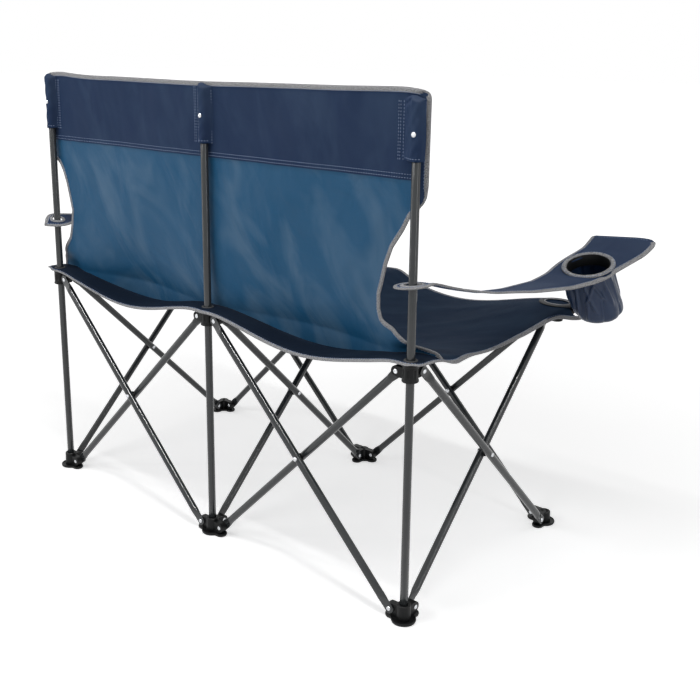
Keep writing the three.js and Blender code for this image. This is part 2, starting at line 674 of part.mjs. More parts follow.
// The slack panel below the band hangs a little to the sitter's left.
function backPoint(share, height) {
  const hang = THREE.MathUtils.clamp(dropAt(height), 0, 1);
  const x = share * backHalfWidth(height) + BACK_HANG_LEFT * Math.sin(Math.PI * hang);
  return new THREE.Vector3(x, backDepth(x, height), height);
}

add('backrest_band', sheet(BACK_COLUMNS, BAND_ROWS, CLOTH, (u, v) => {
  const share = 2 * u - 1;
  const dip = BACK_TOP_DIP * Math.sin(Math.PI * share) ** 2;
  const height = THREE.MathUtils.lerp(BACK_BAND_HEIGHT + BACK_SEAM_GAP / 2, BACK_TOP_HEIGHT - dip, v);
  return backPoint(share, height);
}), navy);

add('backrest_panel', sheet(BACK_COLUMNS, BACK_ROWS, CLOTH, (u, v) => {
  const share = 2 * u - 1;
  const top = BACK_BAND_HEIGHT - BACK_SEAM_GAP / 2;
  let foot = SEAT_HEIGHT;
  for (let pass = 0; pass < 4; pass++) {
    const at = backPoint(share, foot);
    foot = seatSurfaceHeight(at.x, at.y) + 2 * CLOTH;
  }
  return backPoint(share, THREE.MathUtils.lerp(foot, top, v));
}), blue);

// Sleeves over the post tops, sewn to the back of the band

for (const name of rearNames) {
  const inner = TUBE_RADIUS + CLEARANCE;
  const outer = inner + SLEEVE_WALL;
  const top = POST_TOP_HEIGHT + CLEARANCE;
  const bottom = POST_TOP_HEIGHT - SLEEVE_LENGTH;
  const pocket = turned([
    [inner, bottom], [outer, bottom], [outer, top + SLEEVE_WALL / 2],
    [inner, top + SLEEVE_WALL], [0, top + SLEEVE_WALL], [0, top], [inner, top], [inner, bottom],
  ], ROUND_SIDES);
  const before = new THREE.Vector3(0, -CUT_OVERRUN, POST_TOP_HEIGHT - SLEEVE_RIVET_BELOW_TOP);
  const behind = before.clone().setY(CUT_OVERRUN);
  const hole = borer(RIVET_SHANK / 2 + CLEARANCE, before, behind, RIVET_SIDES);
  const mesh = add(`${name}_sleeve`, combine(pocket, [], [hole]), navy);
  mesh.position.set(stations[name].x, stations[name].y, 0);
}

// Armrests: a strap that rings the rear post, narrows to a neck and widens round the cup holder

// Rows down the strap, as shares: how far forward and outward its middle lies on the way from the rear post
// to the arm post, its width as a share of the widest, and its height over that way as a share of the sag.
// It is flat between the two rows on either side of the cup holder.
const strapShares = [
  [-0.046, -0.01, 0.11, -0.05], [-0.027, -0.01, 0.28, -0.03], [0, 0, 0.34, 0], [0.035, 0.01, 0.31, 0],
  [0.087, 0.03, 0.23, -0.04], [0.155, 0.05, 0.2, -0.21], [0.232, 0.11, 0.22, -0.49],
  [0.348, 0.22, 0.38, -0.83], [0.484, 0.37, 0.56, -0.98], [0.639, 0.54, 0.7, -1],
  [0.745, 0.63, 0.78, -0.88], [0.958, 0.82, 0.94, -0.02], [1.007, 0.86, 1, 0.41],
];

// The strap's forward and outward place, half width and height at a row number, whole or between two rows.
function strapRow(rowNumber) {
  const before = Math.min(Math.floor(rowNumber), strapShares.length - 2);
  const [forwardShare, outShare, widthShare, sagShare] = strapShares[before]
    .map((value, i) => THREE.MathUtils.lerp(value, strapShares[before + 1][i], rowNumber - before));
  const level = THREE.MathUtils.lerp(ARMREST_REAR_HEIGHT, ARM_TIP_HEIGHT, forwardShare);
  return {
    forward: forwardShare * ARM_POST_FORWARD,
    out: outShare * ARM_TIP_OUT,
    half: widthShare * ARMREST_WIDTH / 2,
    height: level + sagShare * ARMREST_SAG,
  };
}

// Rings down the pouch, as shares of its depth, of its gathers' depth and of its mouth's width.
const pouchShares = [[0.25, 0.4, 1], [0.6, 0.9, 1.02], [0.86, 1, 1], [1, 0.7, 0.84]];

for (const side of [1, -1]) {
  const word = side > 0 ? 'left' : 'right';
  const rows = strapShares.length - 1;
  const band = sheet(STRAP_COLUMNS, rows, ARMREST_THICKNESS, (u, v) => {
    const { forward, out, half, height } = strapRow(v * rows);
    return new THREE.Vector3(side * (BAY_WIDTH + out + (2 * u - 1) * half), -forward, height);
  });
  const behindCup = strapRow(rows - 2);
  const beforeCup = strapRow(rows - 1);
  const slope = (beforeCup.height - behindCup.height) / (beforeCup.forward - behindCup.forward);
  const cupForward = ARM_POST_FORWARD - CUP_BEHIND_ARM_POST;
  const cupOut = BAY_WIDTH + ARM_TIP_OUT - CUP_INSIDE_ARM_TIP;
  const cupHeight = behindCup.height + slope * (cupForward - behindCup.forward);
  const centre = new THREE.Vector3(side * cupOut, -cupForward, cupHeight);
  const up = new THREE.Vector3(0, slope, 1).normalize();
  const mouth = CUP_INNER_DIAMETER / 2;
  const cupHole = borer(
    mouth + CLOTH + CLEARANCE, centre.clone().addScaledVector(up, -mouth / 2),
    centre.clone().addScaledVector(up, mouth / 2), CUP_SIDES,
  );
  const postHole = upright(SEAT_POST_HOLE / 2, side * BAY_WIDTH, 0, ARMREST_REAR_HEIGHT);
  add(`${word}_armrest`, combine(band, [], [cupHole, postHole]), navy);

  // The gathered cup pouch, with its ring lying on the armrest
  const ring = (radius, drop, fold) => Array.from({ length: CUP_SIDES }, (_, i) => {
    const angle = (2 * Math.PI * i) / CUP_SIDES;
    const reach = radius + fold * Math.cos(CUP_FOLDS * angle);
    const lean = CUP_LEAN * (Math.max(drop, 0) / CUP_DEPTH) ** 2;
    return new THREE.Vector3(reach * Math.cos(angle) + side * lean, reach * Math.sin(angle), -drop);
  });
  const lip = ARMREST_THICKNESS / 2 + CLEARANCE;
  const outer = pouchShares.map(([depth, fold, width]) => (
    ring(width * (mouth + CLOTH), depth * CUP_DEPTH, fold * CUP_FOLD_DEPTH)
  ));
  const inner = pouchShares.map(([depth, fold, width]) => (
    ring(width * mouth, depth * CUP_DEPTH - CLOTH, fold * CUP_FOLD_DEPTH)
  ));
  const profile = [
    ...outer.reverse(),
    ring(mouth + CLOTH, lip, 0),
    ring(mouth + CLOTH, -lip, 0),
    ring(mouth + CUP_RING_WIDTH, -lip, 0),
    ring(mouth + CUP_RING_WIDTH - CUP_RING_THICKNESS / 2, -lip - CUP_RING_THICKNESS, 0),
    ring(mouth + CLOTH / 2, -lip - CUP_RING_THICKNESS, 0),
    ring(mouth, -lip, 0),
    ...inner,
  ];
  const pouch = add(`${word}_cup_pouch`, ringLoft(profile), navy);
  pouch.position.copy(centre);
  pouch.quaternion.setFromUnitVectors(Z, up);
}

export default loveseat;
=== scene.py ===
"""Folding camping loveseat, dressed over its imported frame. A Blender add-on in layout, run as a script.

Lengths are in metres. X runs to the sitter's left, Y to the rear and Z up, and the origin is on the floor
under the rear centre post.
"""

import json
import math

import bpy
import numpy as np
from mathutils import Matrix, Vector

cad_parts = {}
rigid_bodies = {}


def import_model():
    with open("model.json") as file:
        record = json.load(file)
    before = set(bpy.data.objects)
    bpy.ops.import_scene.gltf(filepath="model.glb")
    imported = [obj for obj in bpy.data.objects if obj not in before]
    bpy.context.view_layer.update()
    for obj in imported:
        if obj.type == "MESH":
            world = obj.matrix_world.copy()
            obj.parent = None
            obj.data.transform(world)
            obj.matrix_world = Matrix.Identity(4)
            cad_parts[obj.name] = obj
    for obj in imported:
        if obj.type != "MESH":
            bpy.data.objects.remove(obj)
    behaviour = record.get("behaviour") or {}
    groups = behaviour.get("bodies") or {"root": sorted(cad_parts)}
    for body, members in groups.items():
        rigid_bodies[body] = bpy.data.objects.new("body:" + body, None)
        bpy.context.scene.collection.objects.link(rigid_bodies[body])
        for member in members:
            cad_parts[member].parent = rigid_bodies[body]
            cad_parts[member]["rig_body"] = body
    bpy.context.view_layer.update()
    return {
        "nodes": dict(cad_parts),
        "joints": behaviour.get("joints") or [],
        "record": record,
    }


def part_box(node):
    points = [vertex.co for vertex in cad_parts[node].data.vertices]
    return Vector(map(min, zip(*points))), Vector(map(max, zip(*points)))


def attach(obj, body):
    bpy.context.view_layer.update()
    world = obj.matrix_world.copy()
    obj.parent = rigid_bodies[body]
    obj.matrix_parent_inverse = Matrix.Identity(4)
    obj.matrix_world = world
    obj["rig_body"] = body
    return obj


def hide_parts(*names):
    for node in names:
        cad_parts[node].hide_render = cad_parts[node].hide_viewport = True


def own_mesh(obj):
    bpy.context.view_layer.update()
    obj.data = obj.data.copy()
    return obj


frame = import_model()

bl_info = {
    "name": "Folding Camping Loveseat",
    "version": (1, 0, 0),
    "blender": (4, 5, 0),
    "location": "3D View > Sidebar > Loveseat",
    "description": "Builds the tubes, mouldings and sewn cloth of a folding camping loveseat",
    "category": "Add Mesh",
}

# Directions in the frame, and the words for its sides and columns
ACROSS, BACKWARD, UP = np.eye(3)
SIDES = (("left", 1), ("right", -1))
COLUMNS = (("left", 1), ("centre", 0), ("right", -1))

# Sizes and places that the frame gives
SOLES = {m["name"].removesuffix("_sole"): np.array(m["pos_m"], float) for m in frame["record"]["mounts"]}
PIVOTS = {j["name"]: np.array(j["pos_m"], float) for j in frame["joints"]}
BAY_WIDTH = float(SOLES["rear_left"][0])
BAY_DEPTH = float(-SOLES["front_centre"][1])
PIVOT_REACH, BAR_OFFSET, FOOT_PIVOT_HEIGHT = np.abs(PIVOTS["fold"])
HUB_PIVOT_HEIGHT = PIVOTS["rear_left_hub_pivot"][2]
ARM_PIVOT = np.abs(PIVOTS["left_arm_lean"])
HUB_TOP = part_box("rear_centre_hub")[1].z
HUB_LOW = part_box("rear_centre_hub")[0].z
POST_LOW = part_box("rear_centre_post")[0].z
POST_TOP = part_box("rear_centre_post")[1].z
BACK_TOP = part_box("backrest_band")[1].z
BAND_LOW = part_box("backrest_band")[0].z
SLEEVE_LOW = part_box("rear_centre_sleeve")[0].z

# Tubes and their pressed ends
TUBE_RADIUS = 0.0075
TUBE_WALL = 0.0015
FLAT_HALF_THICKNESS = 0.0015
FLAT_HALF_WIDTH = 0.0095
FLAT_TIP = 0.009
FLAT_SHOULDER = 0.004
FLAT_RUN = 0.011
FLARE_END = 0.034
FLAT_SQUARENESS = 5.0

# Rivets
RIVET_SHANK = 0.0025
RIVET_HEAD = 0.0045
SLEEVE_RIVET_BELOW_TOP = 0.051

# Moulded feet, hubs and caps
LUG_HALF_THICKNESS = 0.0067
LUG_RADIUS = 0.010
FOOT_RADIUS = 0.023
FOOT_PAD_HALF_WIDTH = 0.012
FOOT_BASE_HEIGHT = 0.006
FOOT_BOSS_RADIUS = 0.013
FOOT_BOSS_HEIGHT = {"rear": 0.034, "front": 0.027}
RIB_END = 0.0215
RIB_HALF_THICKNESS = 0.0011
SOCKET_RADIUS = 0.0078
SOCKET_FLOOR = {"rear": 0.0036, "front": 0.018}
HUB_RADIUS = {"rear": 0.015, "front": 0.0125}
HUB_BORE = 0.0079
ARM_TIP_OUT = 0.147
ARM_TIP_HEIGHT = 0.627
CAP_RADIUS = 0.011
CAP_LENGTH = 0.0257

# Seat cloth
SEAT_HEIGHT = HUB_TOP + 0.0019
SEAT_EDGE_SAG = 0.036
SEAT_CENTRE_SAG = 0.052
SEAT_REST = 0.024
SEAT_OVERHANG = 0.030
SEAT_EAR = 0.020
SEAT_EAR_RADIUS = 0.030
SEAT_SIDE_SCALLOP = 0.020
SEAT_SIDE_DROOP = 0.014
SEAT_REAR_OVERHANG = 0.0205
SEAT_REAR_SCALLOP = 0.009
SEAT_REAR_LIP = 0.008
SEAT_FRONT_OVERHANG = 0.020
SEAT_FRONT_SCALLOP = 0.010
SEAT_FOLDS = 5
SEAT_WAVE = 0.0016
SEAT_EAR_FROM, SEAT_EAR_TO = 0.34, 0.46
SEAT_EAR_SHIFT = 0.016
SEAT_EAR_DROOP = 0.010
SEAT_DROOP_FROM, SEAT_DROOP_TO = 0.010, 0.032
SEAT_HUB_LIFT = 0.011
SEAT_HUB_LIFT_PLACE, SEAT_HUB_LIFT_WIDTH = 0.09, 0.035
SEAT_FLAT_ALLOWANCE = 0.045
SEAT_FOOT_GAP = 0.0012
POST_HOLE_RADIUS = 0.0092
ARM_HOLE_RADIUS = 0.014
SEAT_HOLE_REACH = 0.021

# Backrest
POST_TO_CLOTH = 0.0103
BACK_FOOT_FORWARD = 0.048
BACK_BELLY = 0.006
BACK_WING = 0.026
BACK_CORNER_RADIUS = 0.016
BACK_FLARE = 0.033
BAND_OVERLAP = 0.013
BAND_STEP = 0.0016
BACK_FOLD = 0.0022
BACK_WRAP_LEFT, BACK_WRAP_RIGHT = 0.004, 0.010

# Sleeves: where the left and right flaps start, width of a flap, how far the hem is above the centre one's,
# and place of the inner seam. Then the height of their closed tops, and the round and back of their section.
SLEEVES = {
    "rear_left": (0.0255, 0.0125, 0.002, -0.005, -0.0175),
    "rear_centre": (0.024, 0.0140, 0.002, 0.0, 0.032),
    "rear_right": (0.032, 0.0108, 0.0005, 0.009, 0.040),
}
SLEEVE_CROWN = 0.0065
SLEEVE_RADIUS = 0.0096
SLEEVE_BACK = -0.0088

# Armrests and cup holders
ARM_FORWARD = float(ARM_PIVOT[1])
ARMREST_HALF_WIDTH = 0.064
ARMREST_THICKNESS = 0.0022
ARMREST_DROOP = 0.0075
ARMREST_TAIL = 9.0
ARMREST_CUP_FULLNESS = 0.12
ARMREST_POST_HOLLOW = 0.35
ARMREST_HOLE_REACH = 0.027
ARMREST_REAR_HEIGHT = float(PIVOTS["left_armrest_lift"][2])
ARMREST_SAG = 0.037
ARMREST_REAR_RADIUS = 0.033
ARMREST_CORNERS = (0.007, 0.016)
ARMREST_HOLE_RADIUS = {1: 0.0120, -1: 0.0170}
CUP_MOUTH = 0.042
CUP_RING_WIDTH = 0.009
CUP_RING_HEIGHT = 0.003
CUP_LIP = 0.0014
CUP_HOLE_REACH = 0.056
CUP_DEPTH = 0.103
CUP_LEAN = 0.016
CUP_OUT = ARM_TIP_OUT - 0.044
CUP_FORWARD = ARM_FORWARD - 0.090
CUP_FOLDS = 6
CUP_GATHER = 0.0046
CUP_PRESS = 1.5

# Where a seam lies on its binding, as a share of the tape's width
SEAM_SHARE = 0.72

# The photograph's camera: focal length and image centre in pixels of its frame, angles in degrees
PHOTO_SIZE = 700
PHOTO_FOCAL = 1007.48
PHOTO_CENTRE_SHIFT = (-11.495, -69.819)
CAMERA_YAW = 40.482
CAMERA_PITCH = 13.890
CAMERA_ROLL = 0.573
CAMERA_TARGET = np.array([0.0, 0.0, 0.400])
CAMERA_OFFSET = np.array([-0.26402, -0.14603, 2.05121])
SENSOR_WIDTH = 36.0

# Each crossed tube: its foot, its hub and the face of their lugs that it is riveted to, along its pivot axis
CROSS_TUBES = {
    "rear_left_cross_tube_a": ("rear_centre", "rear_left", 1),
    "rear_left_cross_tube_b": ("rear_left", "rear_centre", -1),
    "rear_right_cross_tube_a": ("rear_right", "rear_centre", 1),
    "rear_right_cross_tube_b": ("rear_centre", "rear_right", -1),
    "front_left_cross_tube_a": ("front_left", "front_centre", -1),
    "front_left_cross_tube_b": ("front_centre", "front_left", 1),
    "front_right_cross_tube_a": ("front_centre", "front_right", -1),
    "front_right_cross_tube_b": ("front_right", "front_centre", 1),
    "side_left_cross_tube_a": ("front_left", "rear_left", -1),
    "side_left_cross_tube_b": ("rear_left", "front_left", 1),
    "middle_cross_tube_a": ("front_centre", "rear_centre", -1),
    "middle_cross_tube_b": ("rear_centre", "front_centre", 1),
    "side_right_cross_tube_a": ("front_right", "rear_right", -1),
    "side_right_cross_tube_b": ("rear_right", "front_right", 1),
}

# The edges of the back on each side: share of the way up from the seat to the band, and share of the bay's
# width
BACK_EDGES = {
    1: [
        (-0.02, 1.05), (0.0135, 1.05), (0.04, 1.04), (0.08, 1.02), (0.106, 1.0), (0.148, 0.994),
        (0.178, 0.984), (0.247, 0.947), (0.296, 0.935), (0.365, 0.923), (0.461, 0.912), (0.573, 0.927),
        (0.664, 0.941), (0.753, 0.963), (0.806, 0.984), (0.829, 1.004), (0.855, 1.033), (0.905, 1.052),
        (0.97, 1.058), (2.0, 1.058),
    ],
    -1: [
        (-0.02, 1.058), (0.0135, 1.032), (0.027, 0.998), (0.04, 0.972), (0.076, 0.953), (0.115, 0.912),
        (0.145, 0.895), (0.160, 0.862), (0.181, 0.844), (0.237, 0.836), (0.326, 0.839), (0.401, 0.8535),
        (0.507, 0.87), (0.615, 0.895), (0.724, 0.94), (0.806, 0.966), (0.852, 0.998), (0.875, 1.008),
        (0.914, 1.016), (0.97, 1.020), (2.0, 1.024),
    ],
}

# The top edge of the back: share of the half width, and height in millimetres from the frame's top
BACK_TOP_EDGE = [
    (-1.0, 2.5), (-0.96, 5.5), (-0.88, 5.0), (-0.68, 2.0), (-0.46, 0.0), (-0.22, -2.0), (0.0, -4.6),
    (0.15, -5.2), (0.34, -5.4), (0.54, -5.2), (0.70, -6.0), (0.78, -5.2), (0.84, -3.6), (0.90, -2.0),
    (0.96, -3.2), (1.0, -6.5),
]

# Rows down the armrest, as shares: forward and outward to the arm post, width and sag
STRAP_SHARES = [
    (0.0, 0.0, 0.47, 0.0), (0.03, 0.0, 0.44, -0.01), (0.07, 0.01, 0.29, -0.06), (0.10, 0.02, 0.26, -0.15),
    (0.155, 0.05, 0.24, -0.36), (0.232, 0.11, 0.23, -0.65), (0.348, 0.22, 0.39, -1.02),
    (0.484, 0.37, 0.56, -1.17), (0.639, 0.54, 0.7, -1.14), (0.745, 0.63, 0.80, -0.96),
    (0.958, 0.82, 0.99, 0.02), (1.022, 0.87, 1.06, 0.62),
]
ARMREST_FRONT = STRAP_SHARES[-1][0] * ARM_FORWARD

# Twist of the armrests: distance forward in metres, slope of the right and left ones up to their outer edge,
# and how far each stands above the middle line, in metres
STRAP_TWISTS = [
    (-0.03, 0.11, 0.36, 0.005, -0.012), (0.04, 0.11, 0.36, 0.004, -0.011), (0.09, 0.12, 0.32, 0.001, -0.007),
    (0.15, 0.12, 0.24, 0.0, -0.002), (0.2, 0.15, 0.18, 0.0, 0.0), (0.3, 0.10, 0.10, 0.0, 0.0),
    (0.4, 0.05, 0.05, 0.0, 0.0), (0.47, 0.07, 0.07, 0.0, 0.0), (0.55, 0.10, 0.10, 0.0, 0.0),
]

# Creases of the cup pouch: ends as degrees round it and shares of its depth, height and width
POUCH_CREASES = [
    (100, 0.06, 124, 0.85, 0.0026, 0.0026), (116, 0.04, 152, 0.60, 0.0024, 0.0024),
    (132, 0.08, 98, 0.62, 0.0022, 0.0024), (150, 0.03, 166, 0.74, 0.0026, 0.0030),
    (82, 0.10, 76, 0.95, 0.0024, 0.0030), (176, 0.06, 190, 0.92, 0.0026, 0.0030),
    (140, 0.45, 128, 0.95, 0.0018, 0.0024), (108, 0.50, 92, 0.96, 0.0018, 0.0024),
    (40, 0.05, 22, 0.85, 0.0026, 0.0030), (58, 0.10, 62, 0.90, 0.0022, 0.0028),
    (2, 0.06, -14, 0.90, 0.0024, 0.0030), (214, 0.05, 228, 0.85, 0.0026, 0.0030),
    (250, 0.06, 242, 0.90, 0.0024, 0.0030), (286, 0.05, 302, 0.85, 0.0026, 0.0030),
    (320, 0.08, 314, 0.92, 0.0022, 0.0028),
]

# Rings down the cup pouch, as shares of its depth, of its gathers and of its mouth's width
POUCH_SHARES = [
    (0.0, 0.0, 1.0), (0.12, 0.25, 1.0), (0.3, 0.6, 1.02), (0.6, 1.0, 1.06),
    (0.8, 1.1, 1.08), (0.9, 1.0, 1.05), (0.97, 0.8, 0.96), (1.0, 0.5, 0.80),
]

# Creases pressed into the back: ends in shares of a bay's width and of the panel's height, depth, and width
PANEL_CREASES = [
    (-0.93, 0.95, -0.62, 0.30, 0.0011, 0.016), (-0.86, 0.55, -0.55, 0.06, 0.0013, 0.020),
    (-0.72, 0.98, -0.60, 0.62, 0.0007, 0.012), (-0.45, 0.90, -0.20, 0.35, 0.0012, 0.018),
    (-0.40, 0.30, -0.08, 0.70, 0.0010, 0.015), (-0.30, 0.96, -0.34, 0.58, 0.0007, 0.011),
    (0.10, 0.25, 0.46, 0.80, 0.0013, 0.019), (0.22, 0.10, 0.60, 0.45, 0.0012, 0.017),
    (0.30, 0.97, 0.42, 0.62, 0.0008, 0.012), (0.55, 0.88, 0.80, 0.35, 0.0012, 0.018),
    (0.62, 0.15, 0.90, 0.62, 0.0011, 0.016), (0.86, 0.96, 0.74, 0.72, 0.0007, 0.011),
    (-0.66, 0.22, -0.36, 0.08, 0.0010, 0.013), (0.36, 0.20, 0.70, 0.05, 0.0010, 0.013),
]

# Soft upright wrinkles of the band: place in shares of the half width, depth and width
BAND_WRINKLES = [
    (-0.90, 0.0009, 0.010), (-0.71, 0.0014, 0.016), (-0.52, 0.0010, 0.013), (-0.33, 0.0015, 0.018),
    (-0.14, 0.0011, 0.010), (0.12, 0.0012, 0.011), (0.29, 0.0013, 0.017), (0.48, 0.0009, 0.012),
    (0.66, 0.0016, 0.019), (0.83, 0.0010, 0.012),
]

# Creases of the seat: ends in shares of the bay's width and depth, depth and width
SEAT_CREASES = [
    (-0.95, 0.92, -0.40, 0.40, 0.0016, 0.016), (-0.90, 0.80, -0.55, 0.25, 0.0012, 0.014),
    (-0.80, 0.95, -0.30, 0.72, 0.0012, 0.013), (-0.06, 0.90, -0.50, 0.50, 0.0014, 0.016),
    (0.06, 0.90, 0.50, 0.50, 0.0014, 0.016), (0.95, 0.92, 0.45, 0.38, 0.0016, 0.016),
    (0.80, 0.95, 0.34, 0.74, 0.0012, 0.013), (-0.94, 0.10, -0.60, 0.42, 0.0012, 0.015),
    (0.94, 0.10, 0.58, 0.44, 0.0012, 0.015), (-0.05, 0.12, -0.36, 0.40, 0.0010, 0.014),
    (0.05, 0.12, 0.38, 0.42, 0.0010, 0.014),
]

# Scene colour of the painted sheen on the cloth: paler folds and patches that stand in for light caught on it
PAINTED_SHEEN_COLOUR = (0.14, 0.22, 0.31)

# How strongly the floor glows for the camera, under the seat and far away
FLOOR_GLOW = (0.54, 0.92)

def display(red, green, blue):
    """The scene colour of a display colour: each channel is undone from the display's curve."""
    return tuple(math.pow((c / 255 + 0.055) / 1.055, 2.4) if c > 10 else c / 255 / 12.92
                 for c in (red, green, blue))


# Settings that a user may change

class LoveseatCloth(bpy.types.PropertyGroup):
    """Sizes and colours of the sewn pieces."""

    thickness: bpy.props.FloatProperty(
        name="Thickness", description="Thickness of the woven cloth", default=0.0012, unit="LENGTH")
    binding_width: bpy.props.FloatProperty(
        name="Binding Width", description="Width of the tape folded over the edges", default=0.0095,
        unit="LENGTH")
    binding_rise: bpy.props.FloatProperty(
        name="Binding Rise", description="Half of the bound edge's thickness", default=0.0015, unit="LENGTH")
    stitch_length: bpy.props.FloatProperty(
        name="Stitch Length", description="Length of one stitch", default=0.0030, unit="LENGTH")
    stitch_pitch: bpy.props.FloatProperty(
        name="Stitch Pitch", description="Distance from stitch to stitch", default=0.0055, unit="LENGTH")
    thread: bpy.props.FloatProperty(
        name="Thread", description="Half thickness of the thread", default=0.0006, unit="LENGTH")
    navy: bpy.props.FloatVectorProperty(
        name="Navy", description="Colour of the band, sleeves, armrests and pouches",
        subtype="COLOR", default=display(25, 45, 77))
    seat: bpy.props.FloatVectorProperty(
        name="Seat", description="Colour of the seat", subtype="COLOR", default=display(14, 34, 57))
    panel: bpy.props.FloatVectorProperty(
        name="Panel", description="Colour of the coated back panel", subtype="COLOR",
        default=display(23, 81, 119))
    binding: bpy.props.FloatVectorProperty(
        name="Binding", description="Colour of the edge tape", subtype="COLOR",
        default=display(150, 150, 152))
    thread_colour: bpy.props.FloatVectorProperty(
        name="Thread Colour", description="Colour of the stitches", subtype="COLOR",
        default=display(128, 146, 180))
    cord: bpy.props.FloatVectorProperty(
        name="Cord", description="Colour of the eyelets", subtype="COLOR", default=display(160, 161, 164))
    webbing: bpy.props.FloatVectorProperty(
        name="Webbing", description="Colour of the corner loops", subtype="COLOR",
        default=display(26, 27, 30))


class LoveseatFrame(bpy.types.PropertyGroup):
    """Sizes and colours of the tubes, rivets and mouldings."""

    sides: bpy.props.IntProperty(
        name="Sides", description="Facets round a tube", default=32, min=12, max=64)
    bevel: bpy.props.FloatProperty(
        name="Edge Radius", description="Rounding of the moulded edges", default=0.0006, unit="LENGTH")
    steel: bpy.props.FloatVectorProperty(
        name="Steel", description="Colour of the powder coat", subtype="COLOR", default=display(48, 51, 53))
    zinc: bpy.props.FloatVectorProperty(
        name="Zinc", description="Colour of the rivets", subtype="COLOR", default=display(205, 207, 210))
    moulding: bpy.props.FloatVectorProperty(
        name="Moulding", description="Colour of the feet and hubs", subtype="COLOR",
        default=display(17, 18, 19))


class LoveseatStage(bpy.types.PropertyGroup):
    """Floor and light."""

    floor_size: bpy.props.FloatProperty(
        name="Floor Size", description="Side of the floor", default=40.0, unit="LENGTH")
    floor: bpy.props.FloatVectorProperty(
        name="Floor", description="Colour of the floor", subtype="COLOR", default=display(240, 240, 240))
    fill: bpy.props.FloatProperty(
        name="Fill", description="Strength of the even light from all round", default=0.30, min=0.0)
    key: bpy.props.FloatProperty(
        name="Key", description="Power of the wide soft lamp", default=38.0, unit="POWER")
    strip: bpy.props.FloatProperty(
        name="Strip", description="Power of each narrow lamp", default=9.0, unit="POWER")


# Meshes from arrays

def ease(value, low, high):
    """A smooth step: 0 up to low, 1 from high, and 3t^2 - 2t^3 between them."""
    t = np.clip((value - low) / (high - low), 0, 1)
    return t * t * (3 - 2 * t)


def bell(value, middle, width):
    """A bell shape: exp(-((value - middle) / width)^2)."""
    return np.exp(-((value - middle) / width) ** 2)


def by_table(table, at, width):
    """Every further column of a table at places of its first one: straight runs with rounded corners, the
    mean of the runs over a window of a width."""
    places, *columns = np.transpose(table)
    shifts = np.linspace(-width / 2, width / 2, 9)
    return [np.mean([np.interp(at + shift, places, column) for shift in shifts], axis=0)
            for column in columns]


def unit(vectors):
    return vectors / np.maximum(np.linalg.norm(vectors, axis=-1, keepdims=True), 1e-12)


def xyz(x, y, z):
    """Points from arrays or numbers that fit each other."""
    return np.stack(np.broadcast_arrays(x, y, z), axis=-1)


def once_round(count):
    """Angles once round a circle."""
    return np.linspace(0, 2 * np.pi, count, endpoint=False)


def squared_off(wave, power):
    """sign(wave) |wave|^power, which makes a superellipse of a circle's sine and cosine."""
    return np.sign(wave) * np.abs(wave) ** power


def distances(path):
    """Distance along a path at each of its points."""
    return np.concatenate([[0], np.cumsum(np.linalg.norm(np.diff(path, axis=0), axis=1))])


def quads(rows, columns, closed_rows=False, closed_columns=False):
    """Two index arrays of a grid's quads: into the points, and into a table of places on the cloth.

    The table of places has one more row or column than the points where the grid closes on itself.
    """
    across = columns if closed_columns else columns - 1
    down = rows if closed_rows else rows - 1
    top, near = (index.ravel() for index in np.meshgrid(np.arange(down), np.arange(across), indexing="ij"))
    points = [(top, near), (top, near + 1), (top + 1, near + 1), (top + 1, near)]
    mesh = np.stack([(a % rows) * columns + b % columns for a, b in points], axis=-1)
    places = np.stack([a * (across + 1) + b for a, b in points], axis=-1)
    return mesh, places


def enclosed_volume(points, faces):
    """Sum over the faces' fans of corner . (corner x corner) / 6, which is above zero when they point out."""
    total = 0.0
    for group in faces:
        first = points[group[:, 0]]
        for k in range(1, group.shape[1] - 1):
            total += np.einsum("ij,ij->", first, np.cross(points[group[:, k]], points[group[:, k + 1]])) / 6
    return total


def patch(points, faces, places, slot=0):
    """A part of a mesh: its points, and lists of face arrays with the cloth place of each corner."""
    return {"points": points.reshape(-1, 3), "faces": faces, "places": places, "slot": slot}


def solid(rings, closed=False, slot=0, lengths=None):
    """A closed solid through rings of points (ring, point, xyz), with a flat cap on each end unless closed.

    Places on it are the distance along the rings' middles, and round each ring.
    """
    count, sides = rings.shape[:2]
    mesh, places = quads(count, sides, closed, True)
    middles = rings.mean(axis=1)
    lengths = distances(middles) if lengths is None else lengths
    if closed:
        lengths = np.append(lengths, lengths[-1] + np.linalg.norm(middles[0] - middles[-1]))
    steps = np.linalg.norm(np.roll(rings, -1, axis=1) - rings, axis=2).mean(axis=0)
    round_it = np.concatenate([[0], np.cumsum(steps)])
    table = np.stack(np.meshgrid(lengths, round_it, indexing="ij"), axis=-1).reshape(-1, 2)
    faces, corners = [mesh], [table[places]]
    if not closed:
        ends = np.arange(sides)[None]
        faces += [ends[:, ::-1], ends + (count - 1) * sides]
        corners += [np.zeros((1, sides, 2)), np.zeros((1, sides, 2))]
    points = rings.reshape(-1, 3)
    if enclosed_volume(points, faces) < 0:
        faces, corners = ([group[:, ::-1] for group in groups] for groups in (faces, corners))
    return patch(points, faces, corners, slot)


def cloth(points, places, removed=(), closed_columns=False):
    """An open sheet over a grid of points (row, column, xyz) and of places on the cloth, without the faces
    that touch the removed grid points."""
    rows, columns = points.shape[:2]
    mesh, table = quads(rows, columns, False, closed_columns)
    keep = ~np.isin(mesh, list(removed)).any(axis=1)
    mesh, corners = mesh[keep], places.reshape(-1, 2)[table[keep]]
    used, mesh = np.unique(mesh, return_inverse=True)
    return patch(points.reshape(-1, 3)[used], [mesh.reshape(-1, 4)], [corners])


def sheet_area(part):
    """Area of a sheet: each quad is half the length of the cross product of its diagonals."""
    corners = part["points"][part["faces"][0]]
    cross = np.cross(corners[:, 2] - corners[:, 0], corners[:, 3] - corners[:, 1])
    return float(np.linalg.norm(cross, axis=1).sum() / 2)


